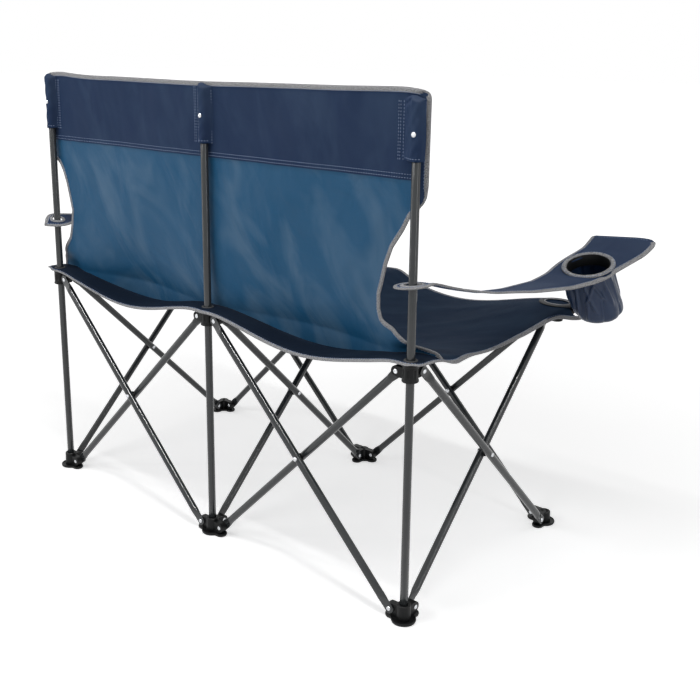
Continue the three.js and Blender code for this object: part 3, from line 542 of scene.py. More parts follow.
def placed(points, origin, x_axis, y_axis, z_axis):
    """Local points in the frame: origin + x * x_axis + y * y_axis + z * z_axis."""
    return np.asarray(origin) + points @ np.stack([x_axis, y_axis, z_axis])


def turned(profile, sides):
    """Rings of a turned shape about local Z: each (radius, height) pair is carried round a circle."""
    radius, height = np.transpose(profile)[..., None]
    angle = once_round(sides)
    return xyz(radius * np.cos(angle), radius * np.sin(angle), height)


def carried(path, side, normal, profile, closed=False):
    """A profile of (side, normal) pairs carried along a path: path + a * side + b * normal for each pair.

    The profile may be one list, or one for each point of the path.
    """
    profile = np.broadcast_to(np.asarray(profile, float), (len(path),) + np.shape(profile)[-2:])
    rings = path[:, None] + profile[..., :1] * side[:, None] + profile[..., 1:] * normal[:, None]
    return solid(rings, closed, lengths=distances(path))


def axes_along(path, inner, closed=False):
    """Side and normal of a bound edge: side points to the inner points, square to the path."""
    run = np.roll(path, -1, axis=0) - np.roll(path, 1, axis=0) if closed else np.gradient(path, axis=0)
    tangent = unit(run)
    side = inner - path
    side = unit(side - (side * tangent).sum(axis=1, keepdims=True) * tangent)
    return side, np.cross(tangent, side)


def three_sides(points, inset=0):
    """The first column, last row and last column of a grid in one run, or the lines inset from them."""
    last = -1 - inset
    return np.concatenate([points[:, inset], points[last, 1:-1], points[::-1, last]])


def binding(path, inner, width, rise, closed=False):
    """Tape folded over an edge: a flat oval whose outer lip stands just past the edge.

    At each angle the profile is width * ((1 + cos) / 2)^0.8 inward and rise * sin^0.55 out of the cloth.
    """
    side, normal = axes_along(path, inner, closed)
    angle = once_round(14)
    inward = np.broadcast_to(width, len(path))[:, None] * ((1 + np.cos(angle)) / 2) ** 0.8 - rise
    profile = np.stack(np.broadcast_arrays(inward, rise * squared_off(np.sin(angle), 0.55)), axis=-1)
    return carried(path, side, normal, profile, closed)


def at_distances(path, wanted):
    """Points of a path at distances along it."""
    run = distances(path)
    return np.stack([np.interp(wanted, run, path[:, k]) for k in range(3)], axis=-1)


def stitches(path, normal, settings):
    """A row of stitches along a path: each is a short six-sided spindle that lies along it. The normal is one
    for the row, or one for each point."""
    pitch, half = settings.stitch_pitch, settings.stitch_length / 2
    starts = np.arange(pitch / 2, distances(path)[-1] - pitch / 2, pitch)
    ends = [at_distances(path, starts + sign * half) for sign in (-1, 1)]
    up = unit(at_distances(normal, starts) if len(normal) == len(path) else normal)
    middle, along = (ends[0] + ends[1]) / 2, unit(ends[1] - ends[0])
    side = unit(np.cross(along, up))
    angle = once_round(6)[:, None]
    spoke = np.cos(angle) * side[:, None, None] + np.sin(angle) * np.cross(side, along)[:, None, None]
    reach, thick = np.array([(-1, 0.3), (-0.6, 1), (0.6, 1), (1, 0.3)]).T[..., None, None]
    rings = (middle[:, None, None] + reach * half * along[:, None, None]
             + thick * settings.thread * spoke)
    one = solid(rings[0])
    shift = (np.arange(len(starts)) * len(one["points"]))[:, None, None]
    faces = [(group[None] + shift).reshape(-1, group.shape[1]) for group in one["faces"]]
    return patch(rings, faces, [np.zeros(group.shape + (2,)) for group in faces])


def seams(line, normal, rise, settings):
    """Rows of stitches on both faces of the cloth: the line moved out of it by the rise on each."""
    return [stitches(line + normal * sign * rise, normal * sign, settings) for sign in (-1, 1)]


# Materials

def add_node(tree, kind, inputs=None, **settings):
    """A node with its settings, and each named input either linked or set."""
    node = tree.nodes.new(kind)
    for key, value in settings.items():
        setattr(node, key, value)
    for key, value in (inputs or {}).items():
        if isinstance(value, bpy.types.NodeSocket):
            tree.links.new(value, node.inputs[key])
        else:
            node.inputs[key].default_value = value
    return node


def math_node(tree, operation, *values):
    return add_node(tree, "ShaderNodeMath", dict(enumerate(values)), operation=operation).outputs[0]


def stretched(tree, place, shares):
    return add_node(tree, "ShaderNodeVectorMath", {0: place, 1: shares}, operation="MULTIPLY").outputs[0]


def noise(tree, place, scale, detail, **inputs):
    inputs = {"Vector": place, "Scale": scale, "Detail": detail, **inputs}
    return add_node(tree, "ShaderNodeTexNoise", inputs).outputs["Fac"]


def ranged(tree, value, low=0.0, high=1.0, to_low=0.0, to_high=1.0):
    """A value carried from one range to another, and held at the ends."""
    ends = {"From Min": low, "From Max": high, "To Min": to_low, "To Max": to_high}
    return add_node(tree, "ShaderNodeMapRange", {"Value": value, **ends}).outputs[0]


def mixed(tree, factor, first, second):
    inputs = {"Factor": factor, 6: first, 7: second}
    return add_node(tree, "ShaderNodeMix", inputs, data_type="RGBA").outputs[2]


def tinted(colour, share):
    """A colour made lighter or darker by a share."""
    return tuple(min(1.0, c * share) for c in colour) + (1.0,)


def toned(tree, tone, colour, dark, light):
    """A colour that goes from a darker share of itself to a lighter one with a tone."""
    return mixed(tree, tone, tinted(colour, dark), tinted(colour, light))


def weave_parts(tree, given):
    """Plain weave on places in metres: threads pass over and under as sin(u) * sin(v) + 0.5, and each thread
    has its own tone from noise drawn out along it."""
    parts = add_node(tree, "ShaderNodeSeparateXYZ", {0: given["Place"]})
    rate = math_node(tree, "DIVIDE", math.pi, given["Pitch"])
    waves = [math_node(tree, "SINE", math_node(tree, "MULTIPLY", parts.outputs[k], rate)) for k in (0, 1)]
    tones = [noise(tree, stretched(tree, given["Place"], shares), 1.0, 1.0)
             for shares in ((900.0, 30.0, 1.0), (30.0, 900.0, 1.0))]
    return {"Height": math_node(tree, "MULTIPLY_ADD", *waves, 0.5),
            "Tone": math_node(tree, "MULTIPLY", math_node(tree, "ADD", *tones), 0.5)}


def crease_parts(tree, given):
    """Soft creases: ridged noise, (1 - |2n - 1|)^3, drawn out along a slant, and a broad mottle beside it."""
    spun = add_node(tree, "ShaderNodeVectorRotate", {"Vector": given["Place"], "Angle": given["Slant"]},
                    rotation_type="Z_AXIS").outputs[0]
    drawn = stretched(tree, spun, (1.9, 0.8, 1.0))
    height = noise(tree, drawn, given["Scale"], 3.0, Roughness=0.45, Distortion=1.1)
    centred = math_node(tree, "ABSOLUTE", math_node(tree, "MULTIPLY_ADD", height, 2.0, -1.0))
    return {"Height": height,
            "Ridge": math_node(tree, "POWER", math_node(tree, "SUBTRACT", 1.0, centred), 3.0),
            "Mottle": noise(tree, drawn, 5.0, 3.0, Distortion=1.2)}


def grain_parts(tree, given):
    """Fine grain of a coat or a moulding, and scuffs that gather in patches and towards the floor."""
    place = given["Place"]
    height = add_node(tree, "ShaderNodeSeparateXYZ", {0: place}).outputs[2]
    floorward = ranged(tree, height, 0.0, 0.12, 0.07, 0.0)
    lifted = math_node(tree, "ADD", noise(tree, place, 160.0, 4.0, Roughness=0.65), floorward)
    return {"Height": noise(tree, place, given["Scale"], 2.0), "Tone": noise(tree, place, 22.0, 3.0),
            "Scuff": ranged(tree, lifted, 0.66, 0.78)}


# Shared effects: the values they take beside a place, and the function that makes what they put out
EFFECTS = {
    "Plain weave": ({"Pitch": 0.0009}, weave_parts),
    "Soft creases": ({"Slant": 0.5, "Scale": 6.0}, crease_parts),
    "Fine grain": ({"Scale": 900.0}, grain_parts),
}


def effect(tree, name, **inputs):
    """The outputs of a shared effect in a material. Its node group is built once."""
    group = bpy.data.node_groups.get(name)
    if group is None:
        values, parts = EFFECTS[name]
        group = bpy.data.node_groups.new(name, "ShaderNodeTree")
        group.interface.new_socket(name="Place", in_out="INPUT", socket_type="NodeSocketVector")
        for key, default in values.items():
            socket = group.interface.new_socket(name=key, in_out="INPUT", socket_type="NodeSocketFloat")
            socket.default_value = default
        outputs = parts(group, group.nodes.new("NodeGroupInput").outputs)
        for key in outputs:
            group.interface.new_socket(name=key, in_out="OUTPUT", socket_type="NodeSocketFloat")
        add_node(group, "NodeGroupOutput", outputs)
    return add_node(tree, "ShaderNodeGroup", inputs, node_tree=group).outputs


def coloured(tree, shader, socket):
    tree.links.new(socket, shader.inputs["Base Color"])


def roughened(tree, shader, tone, middle, spread, scuff=None):
    """Roughness that strays from its middle with a tone, and rises by 0.15 where it is scuffed."""
    rough = ranged(tree, tone, to_low=middle - spread, to_high=middle + spread)
    if scuff is not None:
        rough = math_node(tree, "ADD", rough, math_node(tree, "MULTIPLY", scuff, 0.15))
    tree.links.new(rough, shader.inputs["Roughness"])


def bumped(tree, shader, *heights):
    """Chains a Bump node for each (height, distance, strength) into the shader's normal."""
    before = {}
    for height, distance, strength in heights:
        inputs = {"Height": height, "Distance": distance, "Strength": strength, **before}
        before = {"Normal": add_node(tree, "ShaderNodeBump", inputs).outputs[0]}
    tree.links.new(before["Normal"], shader.inputs["Normal"])


def cloth_surface(tree, shader, colour, roughness, pitch, slant, streaks, patches, depth, edge_band=None):
    """Woven cloth: weave and thread tone on the cloth's own places, with soft creases. Painted sheen: paler
    colour along the crease ridges and in patches, by their shares, stands in for light caught on the cloth.
    Given the two places of a band along an edge, it goes darker between them: painted shade where the back
    shadows the seat."""
    place = add_node(tree, "ShaderNodeUVMap", uv_map="Cloth").outputs[0]
    weave = effect(tree, "Plain weave", Place=place, Pitch=pitch)
    crease = effect(tree, "Soft creases", Place=place, Slant=slant)
    shade = mixed(tree, 0.5, toned(tree, weave["Tone"], colour, 0.72, 1.3),
                  toned(tree, crease["Mottle"], colour, 0.82, 1.18))
    # Painted sheen: paler colour along the crease ridges and in broad patches, in place of light caught on
    # the cloth
    painted_sheen = math_node(tree, "ADD", math_node(tree, "MULTIPLY", crease["Ridge"], streaks),
                     ranged(tree, crease["Mottle"], 0.46, 0.68, 0.0, patches))
    pale = tuple(0.3 * c + 0.7 * p for c, p in zip(colour, PAINTED_SHEEN_COLOUR)) + (1.0,)
    shade = mixed(tree, painted_sheen, shade, pale)
    # Painted shade: the seat goes darker between the band's two places, towards its rear edge, where the back
    # shadows it
    if edge_band:
        behind = add_node(tree, "ShaderNodeSeparateXYZ", {0: place}).outputs[1]
        shade = mixed(tree, ranged(tree, behind, *edge_band, 0.0, 0.6), shade, tinted(colour, 0.2))
    coloured(tree, shader, shade)
    roughened(tree, shader, crease["Mottle"], roughness, 0.07)
    bumped(tree, shader, (crease["Height"], depth, 0.6), (weave["Height"], 0.0002, 0.35))


def tape_surface(tree, shader, colour):
    """Binding tape: fine ribs across the tape, flecks, and slow changes of tone."""
    place = add_node(tree, "ShaderNodeUVMap", uv_map="Cloth").outputs[0]
    weave = effect(tree, "Plain weave", Place=place, Pitch=0.0008)
    crease = effect(tree, "Soft creases", Place=place, Slant=1.2, Scale=40.0)
    soiled = mixed(tree, 0.4, toned(tree, weave["Tone"], colour, 0.6, 1.4),
                   toned(tree, crease["Mottle"], colour, 0.8, 1.2))
    fleck = ranged(tree, noise(tree, place, 620.0, 2.0), 0.40, 0.60)
    coloured(tree, shader, mixed(tree, 0.7, soiled, toned(tree, fleck, colour, 0.28, 1.8)))
    roughened(tree, shader, weave["Tone"], 0.82, 0.10)
    bumped(tree, shader, (crease["Height"], 0.0015, 0.5), (weave["Height"], 0.0003, 0.5))


def fibre_surface(tree, shader, colour, roughness):
    """Thread, cord or webbing: twisted fibre whose tone changes along it."""
    place = add_node(tree, "ShaderNodeTexCoord").outputs["Object"]
    grain = effect(tree, "Fine grain", Place=place, Scale=1400.0)
    coloured(tree, shader, toned(tree, grain["Height"], colour, 0.55, 1.45))
    roughened(tree, shader, grain["Tone"], roughness, 0.08)
    bumped(tree, shader, (grain["Height"], 0.0003, 0.5))


def coat_surface(tree, shader, colour, roughness, depth, scale, scuffed):
    """A coated or moulded surface: fine grain, slow changes of tone and gloss, and scuffs of wear."""
    place = add_node(tree, "ShaderNodeTexCoord").outputs["Object"]
    grain = effect(tree, "Fine grain", Place=place, Scale=scale)
    tone = toned(tree, grain["Tone"], colour, 0.85, 1.15)
    coloured(tree, shader, mixed(tree, grain["Scuff"], tone, tinted(colour, scuffed)))
    roughened(tree, shader, grain["Tone"], roughness, 0.06, grain["Scuff"])
    bumped(tree, shader, (grain["Height"], depth, 0.5))


# Finishes: the material's name, the settings and the colour in them, the shader's plain values, and the
# surface with its values. For cloth these are roughness, pitch, slant, the shares of painted sheen in streaks
# and in patches, crease depth and the band of painted shade along the seat's rear edge, and for a coat
# roughness, grain depth, grain scale and the tone of its scuffs.
FINISHES = {
    "navy": ("Navy cloth", "cloth", "navy", {"Specular IOR Level": 0.14},
             cloth_surface, 0.7, 0.0009, 0.25, 0.05, 0.10, 0.004),
    "pouch": ("Navy pouch", "cloth", "navy", {"Specular IOR Level": 0.32},
              cloth_surface, 0.32, 0.0008, 0.6, 0.06, 0.06, 0.003),
    # The seat's last value is its band of painted shade: darker cloth towards the rear edge, in the back's
    # shadow
    "seat": ("Seat cloth", "cloth", "seat", {"Specular IOR Level": 0.06},
             cloth_surface, 0.78, 0.0009, 0.9, 0.04, 0.10, 0.005, (-0.07, -0.035)),
    "panel": ("Coated panel", "cloth", "panel",
              {"Specular IOR Level": 0.13, "Coat Weight": 0.05, "Coat Roughness": 0.35},
              cloth_surface, 0.44, 0.0008, 0.55, 0.10, 0.46, 0.010),
    "tape": ("Binding tape", "cloth", "binding", {"Specular IOR Level": 0.25}, tape_surface),
    "thread": ("Sewing thread", "cloth", "thread_colour", {}, fibre_surface, 0.7),
    "cord": ("Eyelet cord", "cloth", "cord", {}, fibre_surface, 0.6),
    "webbing": ("Black webbing", "cloth", "webbing", {}, fibre_surface, 0.75),
    "steel": ("Powder coated steel", "frame", "steel", {"Specular IOR Level": 0.5},
              coat_surface, 0.15, 0.00003, 1300.0, 1.5),
    "zinc": ("Zinc rivet", "frame", "zinc", {"Metallic": 1.0}, coat_surface, 0.27, 0.0001, 1800.0, 0.6),
    "moulding": ("Black moulding", "frame", "moulding", {"Specular IOR Level": 0.2},
                 coat_surface, 0.42, 0.0003, 1100.0, 3.0),
}


def new_material(name, plain):
    """A new material and its Principled BSDF, with the plain values of its sockets."""
    material = bpy.data.materials.new(name)
    material.use_nodes = True
    shader = material.node_tree.nodes["Principled BSDF"]
    for key, value in plain.items():
        shader.inputs[key].default_value = value
    return material, shader


def finish(kind):
    """The material of a finish, made on its first use in the colour that the settings hold."""
    name, group, key, plain, surface, *values = FINISHES[kind]
    if name not in bpy.data.materials:
        material, shader = new_material(name, plain)
        colour = getattr(getattr(bpy.context.scene, f"loveseat_{group}"), key)
        surface(material.node_tree, shader, colour, *values)
    return bpy.data.materials[name]


# Pieces

def make_piece(name, parts, finishes, sharp=None):
    """One object from parts. Each part's slot is its place in the list of finishes."""
    sizes = np.cumsum([0] + [len(part["points"]) for part in parts])
    loops, totals, slots, places = [], [], [], []
    for base, part in zip(sizes, parts):
        for group, corners in zip(part["faces"], part["places"]):
            loops.append((group + base).ravel())
            totals.append(np.full(len(group), group.shape[1]))
            slots.append(np.full(len(group), part["slot"]))
            places.append(corners.reshape(-1, 2))
    loops, totals, slots, places = (np.concatenate(arrays) for arrays in (loops, totals, slots, places))
    points = np.concatenate([part["points"] for part in parts])
    mesh = bpy.data.meshes.new(name)
    mesh.vertices.add(len(points))
    mesh.vertices.foreach_set("co", points.astype(np.float32).ravel())
    mesh.loops.add(len(loops))
    mesh.loops.foreach_set("vertex_index", loops.astype(np.int32))
    mesh.polygons.add(len(totals))
    mesh.polygons.foreach_set("loop_start", (np.cumsum(totals) - totals).astype(np.int32))
    mesh.polygons.foreach_set("material_index", slots.astype(np.int32))
    mesh.polygons.foreach_set("use_smooth", np.ones(len(totals), bool))
    mesh.update(calc_edges=True)
    layer = mesh.uv_layers.new(name="Cloth")
    layer.data.foreach_set("uv", places.astype(np.float32).ravel())
    if mesh.validate():
        raise RuntimeError(f"the mesh of {name} has faults")
    if sharp is not None:
        mesh.set_sharp_from_angle(angle=math.radians(sharp))
    for kind in finishes:
        mesh.materials.append(finish(kind))
    made = bpy.data.objects.new(name, mesh)
    bpy.context.scene.collection.objects.link(made)
    return made


def dress(piece, nodes):
    """Puts a finished piece on the body of the nodes that it stands for, and hides them."""
    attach(piece, frame["nodes"][nodes[0]]["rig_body"])
    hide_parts(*nodes)


def flatten_with_fold(piece, side=0):
    """Gives a soft piece a mesh of its own; its side makes no difference."""
    if side:
        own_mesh(piece)
    else:
        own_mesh(piece)


def hard_piece(node, parts, finishes, sharp, bevel=0.0):
    """A rigid piece in place of its node. Faces past the sharp angle meet in a crisp edge, and a bevel rounds
    moulded edges."""
    made = make_piece(f"fine_{node}", parts, finishes, sharp)
    if bevel:
        edges = made.modifiers.new("Moulded edges", "BEVEL")
        edges.width = bevel
        edges.segments = 2
        edges.limit_method = "ANGLE"
        edges.angle_limit = math.radians(35)
        edges.harden_normals = True
    dress(made, [node])


def soft_piece(name, part, kind, nodes, slot, thickness, side=0, **facts):
    """A cloth piece in place of its nodes. It gets its wall, half to each side of the grid. With a side of
    None its wall stays a modifier; else the wall is applied and the piece gets a mesh of its own. The slot
    and the facts are not used."""
    made = make_piece(name, [part], (kind,))
    wall = made.modifiers.new("Cloth thickness", "SOLIDIFY")
    wall.thickness = thickness
    wall.offset = 0.0
    if side is not None:
        bpy.context.view_layer.objects.active = made
        made.select_set(True)
        bpy.ops.object.modifier_apply(modifier=wall.name)
        made.select_set(False)
        made.data.set_sharp_from_angle(angle=math.radians(60))
    dress(made, nodes)
    if side is not None:
        flatten_with_fold(made, side)


def trim(name, parts, kind, body, side=0, sharp=None):
    """A piece that stands for no node and rides on a body. Unless its side is None it gets a mesh of its own.
    """
    made = make_piece(name, parts, (kind,), sharp)
    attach(made, body)
    if side is not None:
        flatten_with_fold(made, side)


def body_of(node):
    return frame["nodes"][node]["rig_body"]


# Frame pieces

def tube_rings(length, sides, both_flat):
    """Rings of a tube along local X, pressed flat round its pivots.

    A ring is a superellipse, |y/a|^n + |z/b|^n = 1. From the flat to the flare's end, a and b ease to the
    tube's radius and n to 2. Past the pivot's shoulder the flat narrows as a half ellipse.
    """
    quarter = np.linspace(0, np.pi / 2, 8)
    start = np.concatenate([-FLAT_TIP + (FLAT_TIP - FLAT_SHOULDER) * (1 - np.cos(quarter)),
                            np.linspace(-FLAT_SHOULDER, FLAT_RUN, 5)[1:],
                            np.linspace(FLAT_RUN, FLARE_END, 15)[1:]])
    if both_flat:
        between = np.linspace(FLARE_END, length - FLARE_END, 12)[1:-1]
        along = np.concatenate([start, between, length - start[::-1]])
        beyond = np.minimum(along, length - along)
    else:
        along = beyond = np.concatenate([start, np.linspace(FLARE_END, length, 6)[1:]])
    opened = ease(beyond, FLAT_RUN, FLARE_END)[:, None]
    tip = np.clip((-FLAT_SHOULDER - beyond) / (FLAT_TIP - FLAT_SHOULDER), 0, 1)[:, None]
    thick = FLAT_HALF_THICKNESS + (TUBE_RADIUS - FLAT_HALF_THICKNESS) * opened
    wide = FLAT_HALF_WIDTH + (TUBE_RADIUS - FLAT_HALF_WIDTH) * opened
    wide = wide * np.sqrt(1 - 0.88 * tip ** 2)
    power = 2 / (FLAT_SQUARENESS + (2 - FLAT_SQUARENESS) * opened)
    angle = once_round(sides)
    return xyz(along[:, None], thick * squared_off(np.cos(angle), power),
               wide * squared_off(np.sin(angle), power))


def tube_between(low, high, axis, sides, both_flat=True):
    """A tube from one pivot to another point. Its pressed ends are square to the pivot's axis."""
    along = unit(high - low)
    rings = tube_rings(float(np.linalg.norm(high - low)), sides, both_flat)
    return solid(placed(rings, low, along, axis, np.cross(along, axis)))


def rivet_rings(low, high, skirt=0.0):
    """A turned rivet about local Z: a domed head on high, a rolled end with a dimple on low, and skirts
    that reach down to a round tube."""
    head, shank = RIVET_HEAD, RIVET_SHANK
    dome = [(head * math.sin(a), high + 0.0004 + 0.0019 * math.cos(a)) for a in np.linspace(0.12, 1.5, 8)]
    rolled = [(head * share, low - depth) for share, depth in
              ((0.96, 0.0003), (0.8, 0.0009), (0.55, 0.0011), (0.35, 0.0008), (0.18, 0.0002))]
    return turned(dome + [(head, high - skirt), (shank, high - skirt), (shank, low + skirt),
                          (head * 0.92, low + skirt)] + rolled, 24)


def heading_of(tube):
    """Level unit vector from a tube's foot towards its hub."""
    foot, hub, _ = CROSS_TUBES[tube]
    return unit(SOLES[hub] - SOLES[foot])


def pivot_axis_of(tube):
    return BACKWARD if abs(heading_of(tube)[0]) > 0.5 else ACROSS


def tube_ends(tube):
    """Low and high pivots of a tube, beside the lugs of its foot and hub."""
    foot, hub, side = CROSS_TUBES[tube]
    reach = heading_of(tube) * PIVOT_REACH
    aside = pivot_axis_of(tube) * side * BAR_OFFSET
    low = SOLES[foot] + reach + aside + UP * FOOT_PIVOT_HEIGHT
    high = SOLES[hub] - reach + aside + UP * HUB_PIVOT_HEIGHT
    return low, high


def end_rivet(origin, outward):
    """The rivet of a pressed end: its head is on the tube's outer face and its rolled end past the lug."""
    low = -BAR_OFFSET - LUG_HALF_THICKNESS - 0.0003
    side = np.cross(outward, UP)
    points = placed(rivet_rings(low, FLAT_HALF_THICKNESS), origin, side, np.cross(outward, side), outward)
    return solid(points, slot=1)


class LOVESEAT_OT_cross_tubes(bpy.types.Operator):
    """Builds the fourteen crossed tubes with their pressed ends and end rivets"""

    bl_idname = "loveseat.cross_tubes"
    bl_label = "Crossed Tubes"

    def execute(self, context):
        sides = context.scene.loveseat_frame.sides
        for tube, (_, _, side) in CROSS_TUBES.items():
            low, high = tube_ends(tube)
            axis = pivot_axis_of(tube)
            rivets = [end_rivet(end, axis * side) for end in (low, high)]
            hard_piece(tube, [tube_between(low, high, axis, sides), *rivets], ("steel", "zinc"), 50)
        return {"FINISHED"}


class LOVESEAT_OT_crossings(bpy.types.Operator):
    """Builds the rivet and the thin spacer where each pair of tubes crosses"""

    bl_idname = "loveseat.crossings"
    bl_label = "Crossing Rivets and Spacers"

    def execute(self, context):
        bearing = BAR_OFFSET + TUBE_RADIUS
        hole, rim = RIVET_SHANK + 0.0003, TUBE_RADIUS - 0.0003
        disc = [(hole, -0.0007), (rim, -0.0007), (TUBE_RADIUS, -0.0003), (TUBE_RADIUS, 0.0003), (rim, 0.0007),
                (hole, 0.0007)]
        for tube in [name for name in CROSS_TUBES if name.endswith("_a")]:
            pair = tube.removesuffix("_cross_tube_a")
            axis, across = pivot_axis_of(tube), heading_of(tube)
            middle = np.mean(tube_ends(tube), axis=0) - axis * CROSS_TUBES[tube][2] * BAR_OFFSET
            axes = (middle, across, np.cross(axis, across), axis)
            pin = solid(placed(rivet_rings(-bearing, bearing, 0.0016), *axes))
            hard_piece(f"{pair}_crossing_rivet", [pin], ("zinc",), 40)
            spacer = solid(placed(turned(disc, 32), *axes), closed=True)
            hard_piece(f"{pair}_crossing_spacer", [spacer], ("moulding",), 40)
        return {"FINISHED"}


class LOVESEAT_OT_posts(bpy.types.Operator):
    """Builds the three rear posts, each with the rivet that holds its sleeve"""

    bl_idname = "loveseat.posts"
    bl_label = "Rear Posts"

    def execute(self, context):
        inner, rim = TUBE_RADIUS - TUBE_WALL, 0.0004
        profile = [(inner, POST_LOW), (TUBE_RADIUS - rim, POST_LOW), (TUBE_RADIUS, POST_LOW + rim),
                   (TUBE_RADIUS, POST_TOP - rim), (TUBE_RADIUS - rim, POST_TOP), (inner, POST_TOP)]
        pin = rivet_rings(inner - TUBE_WALL, TUBE_RADIUS + 0.0022)
        for column, _ in COLUMNS:
            sole = SOLES[f"rear_{column}"]
            wall = solid(turned(profile, context.scene.loveseat_frame.sides) + sole, closed=True)
            height = sole + UP * (POST_TOP - SLEEVE_RIVET_BELOW_TOP)
            rivet = solid(placed(pin, height, ACROSS, UP, BACKWARD), slot=1)
            hard_piece(f"rear_{column}_post", [wall, rivet], ("steel", "zinc"), 50)
        return {"FINISHED"}


def headings_at(name, end):
    """Level directions in which tubes leave a foot (end 0) or a hub (end 1)."""
    sign = 1 if end == 0 else -1
    return [sign * heading_of(tube) for tube, ends in CROSS_TUBES.items() if ends[end] == name]


def plate(outline, half_thickness, heading, origin):
    """A flat plate: an outline of (forward, height) pairs in the plane of its heading, carried across it."""
    forward, height = np.transpose(outline)
    local = xyz(forward, [[-half_thickness], [half_thickness]], height)
    return solid(placed(local, origin, heading, np.cross(UP, heading), UP))


def lug(heading, reach, pivot_height, low, origin):
    """A lug, round about its pivot."""
    arc = np.linspace(-np.pi / 4, np.pi / 2, 14)
    tip = np.transpose([reach + LUG_RADIUS * np.cos(arc), pivot_height + LUG_RADIUS * np.sin(arc)])
    outline = [(0, low), (reach - LUG_RADIUS / 2, low), *tip, (0, pivot_height + LUG_RADIUS)]
    return plate(outline, LUG_HALF_THICKNESS, heading, origin)


def foot_outline(headings, sides=144):
    """Plan of a foot's base as radius against angle: a soft maximum of a disc and of a rounded pad under
    each lug. Along an angle d from a pad's middle line the pad ends at reach cos d + sqrt(w^2 - reach^2
    sin^2 d), or at w / |sin d| where the ray leaves by its side."""
    angle = once_round(sides)
    radii = [np.full(sides, FOOT_RADIUS)]
    half = FOOT_PAD_HALF_WIDTH
    for heading in headings:
        off = angle - math.atan2(heading[1], heading[0])
        ahead, aside = np.cos(off), np.abs(np.sin(off))
        room = half ** 2 - (PIVOT_REACH * aside) ** 2
        by_end = PIVOT_REACH * ahead + np.sqrt(np.maximum(room, 0))
        by_side = half / np.maximum(aside, 1e-6)
        radii.append(np.where(ahead > 0, np.where(room > 0, by_end, np.minimum(by_side, PIVOT_REACH)), 0))
    return angle, (np.sum(np.array(radii) ** 16, axis=0)) ** (1 / 16)


class LOVESEAT_OT_feet(bpy.types.Operator):
    """Builds the six moulded feet: a dished base, a socket and a lug for each tube"""

    bl_idname = "loveseat.feet"
    bl_label = "Feet"

    def execute(self, context):
        base, boss = FOOT_BASE_HEIGHT, FOOT_BOSS_RADIUS
        inset, level = np.transpose([
            (0.0035, 0), (0.001, 0.0008), (0, base * 0.5), (0, base * 0.8), (0.0007, base), (0.0022, base),
            (0.0034, base * 0.78), (0.0075, base * 0.7)])[..., None]
        for name, sole in SOLES.items():
            row = name.split("_")[0]
            headings = headings_at(name, 0)
            angle, radius = foot_outline(headings)
            dish = xyz((radius - inset) * np.cos(angle), (radius - inset) * np.sin(angle), level)
            top, floor = FOOT_BOSS_HEIGHT[row], SOCKET_FLOOR[row]
            bottom = [(0.002, floor)] if row == "front" else []
            socket = bottom + [
                (SOCKET_RADIUS, floor), (SOCKET_RADIUS, top - 0.001), (SOCKET_RADIUS + 0.0008, top),
                (boss - 0.0012, top), (boss - 0.0002, top - 0.0012), (boss, top * 0.5),
                (boss + 0.0008, 0.0045), (boss, 0.003)]
            parts = [solid(dish + sole), solid(turned(socket, 48) + sole, closed=row == "rear")]
            parts += [lug(heading, PIVOT_REACH, FOOT_PIVOT_HEIGHT, 0.003, sole) for heading in headings]
            rib = [(boss - 0.001, base * 0.6), (RIB_END, base * 0.6), (RIB_END - 0.002, base * 0.6 + 0.002),
                   (boss - 0.001, top * 0.7)]
            parts += [plate(rib, RIB_HALF_THICKNESS, unit(first + second), sole)
                      for first in headings for second in headings
                      if abs(first @ second) < 0.5 and np.cross(first, second)[2] > 0]
            hard_piece(f"{name}_foot", parts, ("moulding",), 40, context.scene.loveseat_frame.bevel)
        return {"FINISHED"}


def hub_wall(radius, bore):
    """Rings of a hub: a collar at each end and eight shallow pockets round the middle.

    The radius falls by the pocket's depth where both a band of height and a wave round the hub allow it.
    """
    heights = np.unique([*np.linspace(HUB_LOW, HUB_TOP, 34), HUB_LOW + 0.0005, HUB_TOP - 0.0005])
    angle = once_round(128)
    share = (heights - HUB_LOW) / (HUB_TOP - HUB_LOW)
    collar = 0.0009 * (ease(share, 0.80, 0.84) + 1 - ease(share, 0.10, 0.14)) - 0.0009
    rounded = 0.0011 * (ease(share, 0.97, 1.0) + 1 - ease(share, 0.0, 0.03)) ** 2
    band = ease(share, 0.22, 0.27) * (1 - ease(share, 0.66, 0.71))
    wave = ease(np.cos(8 * angle + np.pi), 0.1, 0.45)
    outer = (radius + collar - rounded)[:, None] - 0.0014 * band[:, None] * wave[None]
    rings = xyz(outer * np.cos(angle), outer * np.sin(angle), heights[:, None])
    if bore:
        lining = turned([(bore + 0.0006, HUB_TOP), (bore, HUB_TOP - 0.0008), (bore, HUB_LOW + 0.0008),
                         (bore + 0.0006, HUB_LOW)], 128)
        rings = np.concatenate([rings, lining])
    return rings


class LOVESEAT_OT_hubs(bpy.types.Operator):
    """Builds the three hubs that slide on the posts and the three front hubs"""

    bl_idname = "loveseat.hubs"
    bl_label = "Hubs"

    def execute(self, context):
        for name, sole in SOLES.items():
            row, column = name.split("_")
            rear = row == "rear"
            lugs = [(heading, PIVOT_REACH, HUB_PIVOT_HEIGHT) for heading in headings_at(name, 1)]
            if not rear and column != "centre":
                lugs.append((np.sign(sole[0]) * ACROSS, ARM_PIVOT[0] - BAY_WIDTH, ARM_PIVOT[2]))
            parts = [solid(hub_wall(HUB_RADIUS[row], HUB_BORE if rear else 0) + sole, closed=rear)]
            parts += [lug(heading, reach, height, height - LUG_RADIUS, sole)
                      for heading, reach, height in lugs]
            hard_piece(f"{name}_hub", parts, ("moulding",), 40, context.scene.loveseat_frame.bevel)
        return {"FINISHED"}


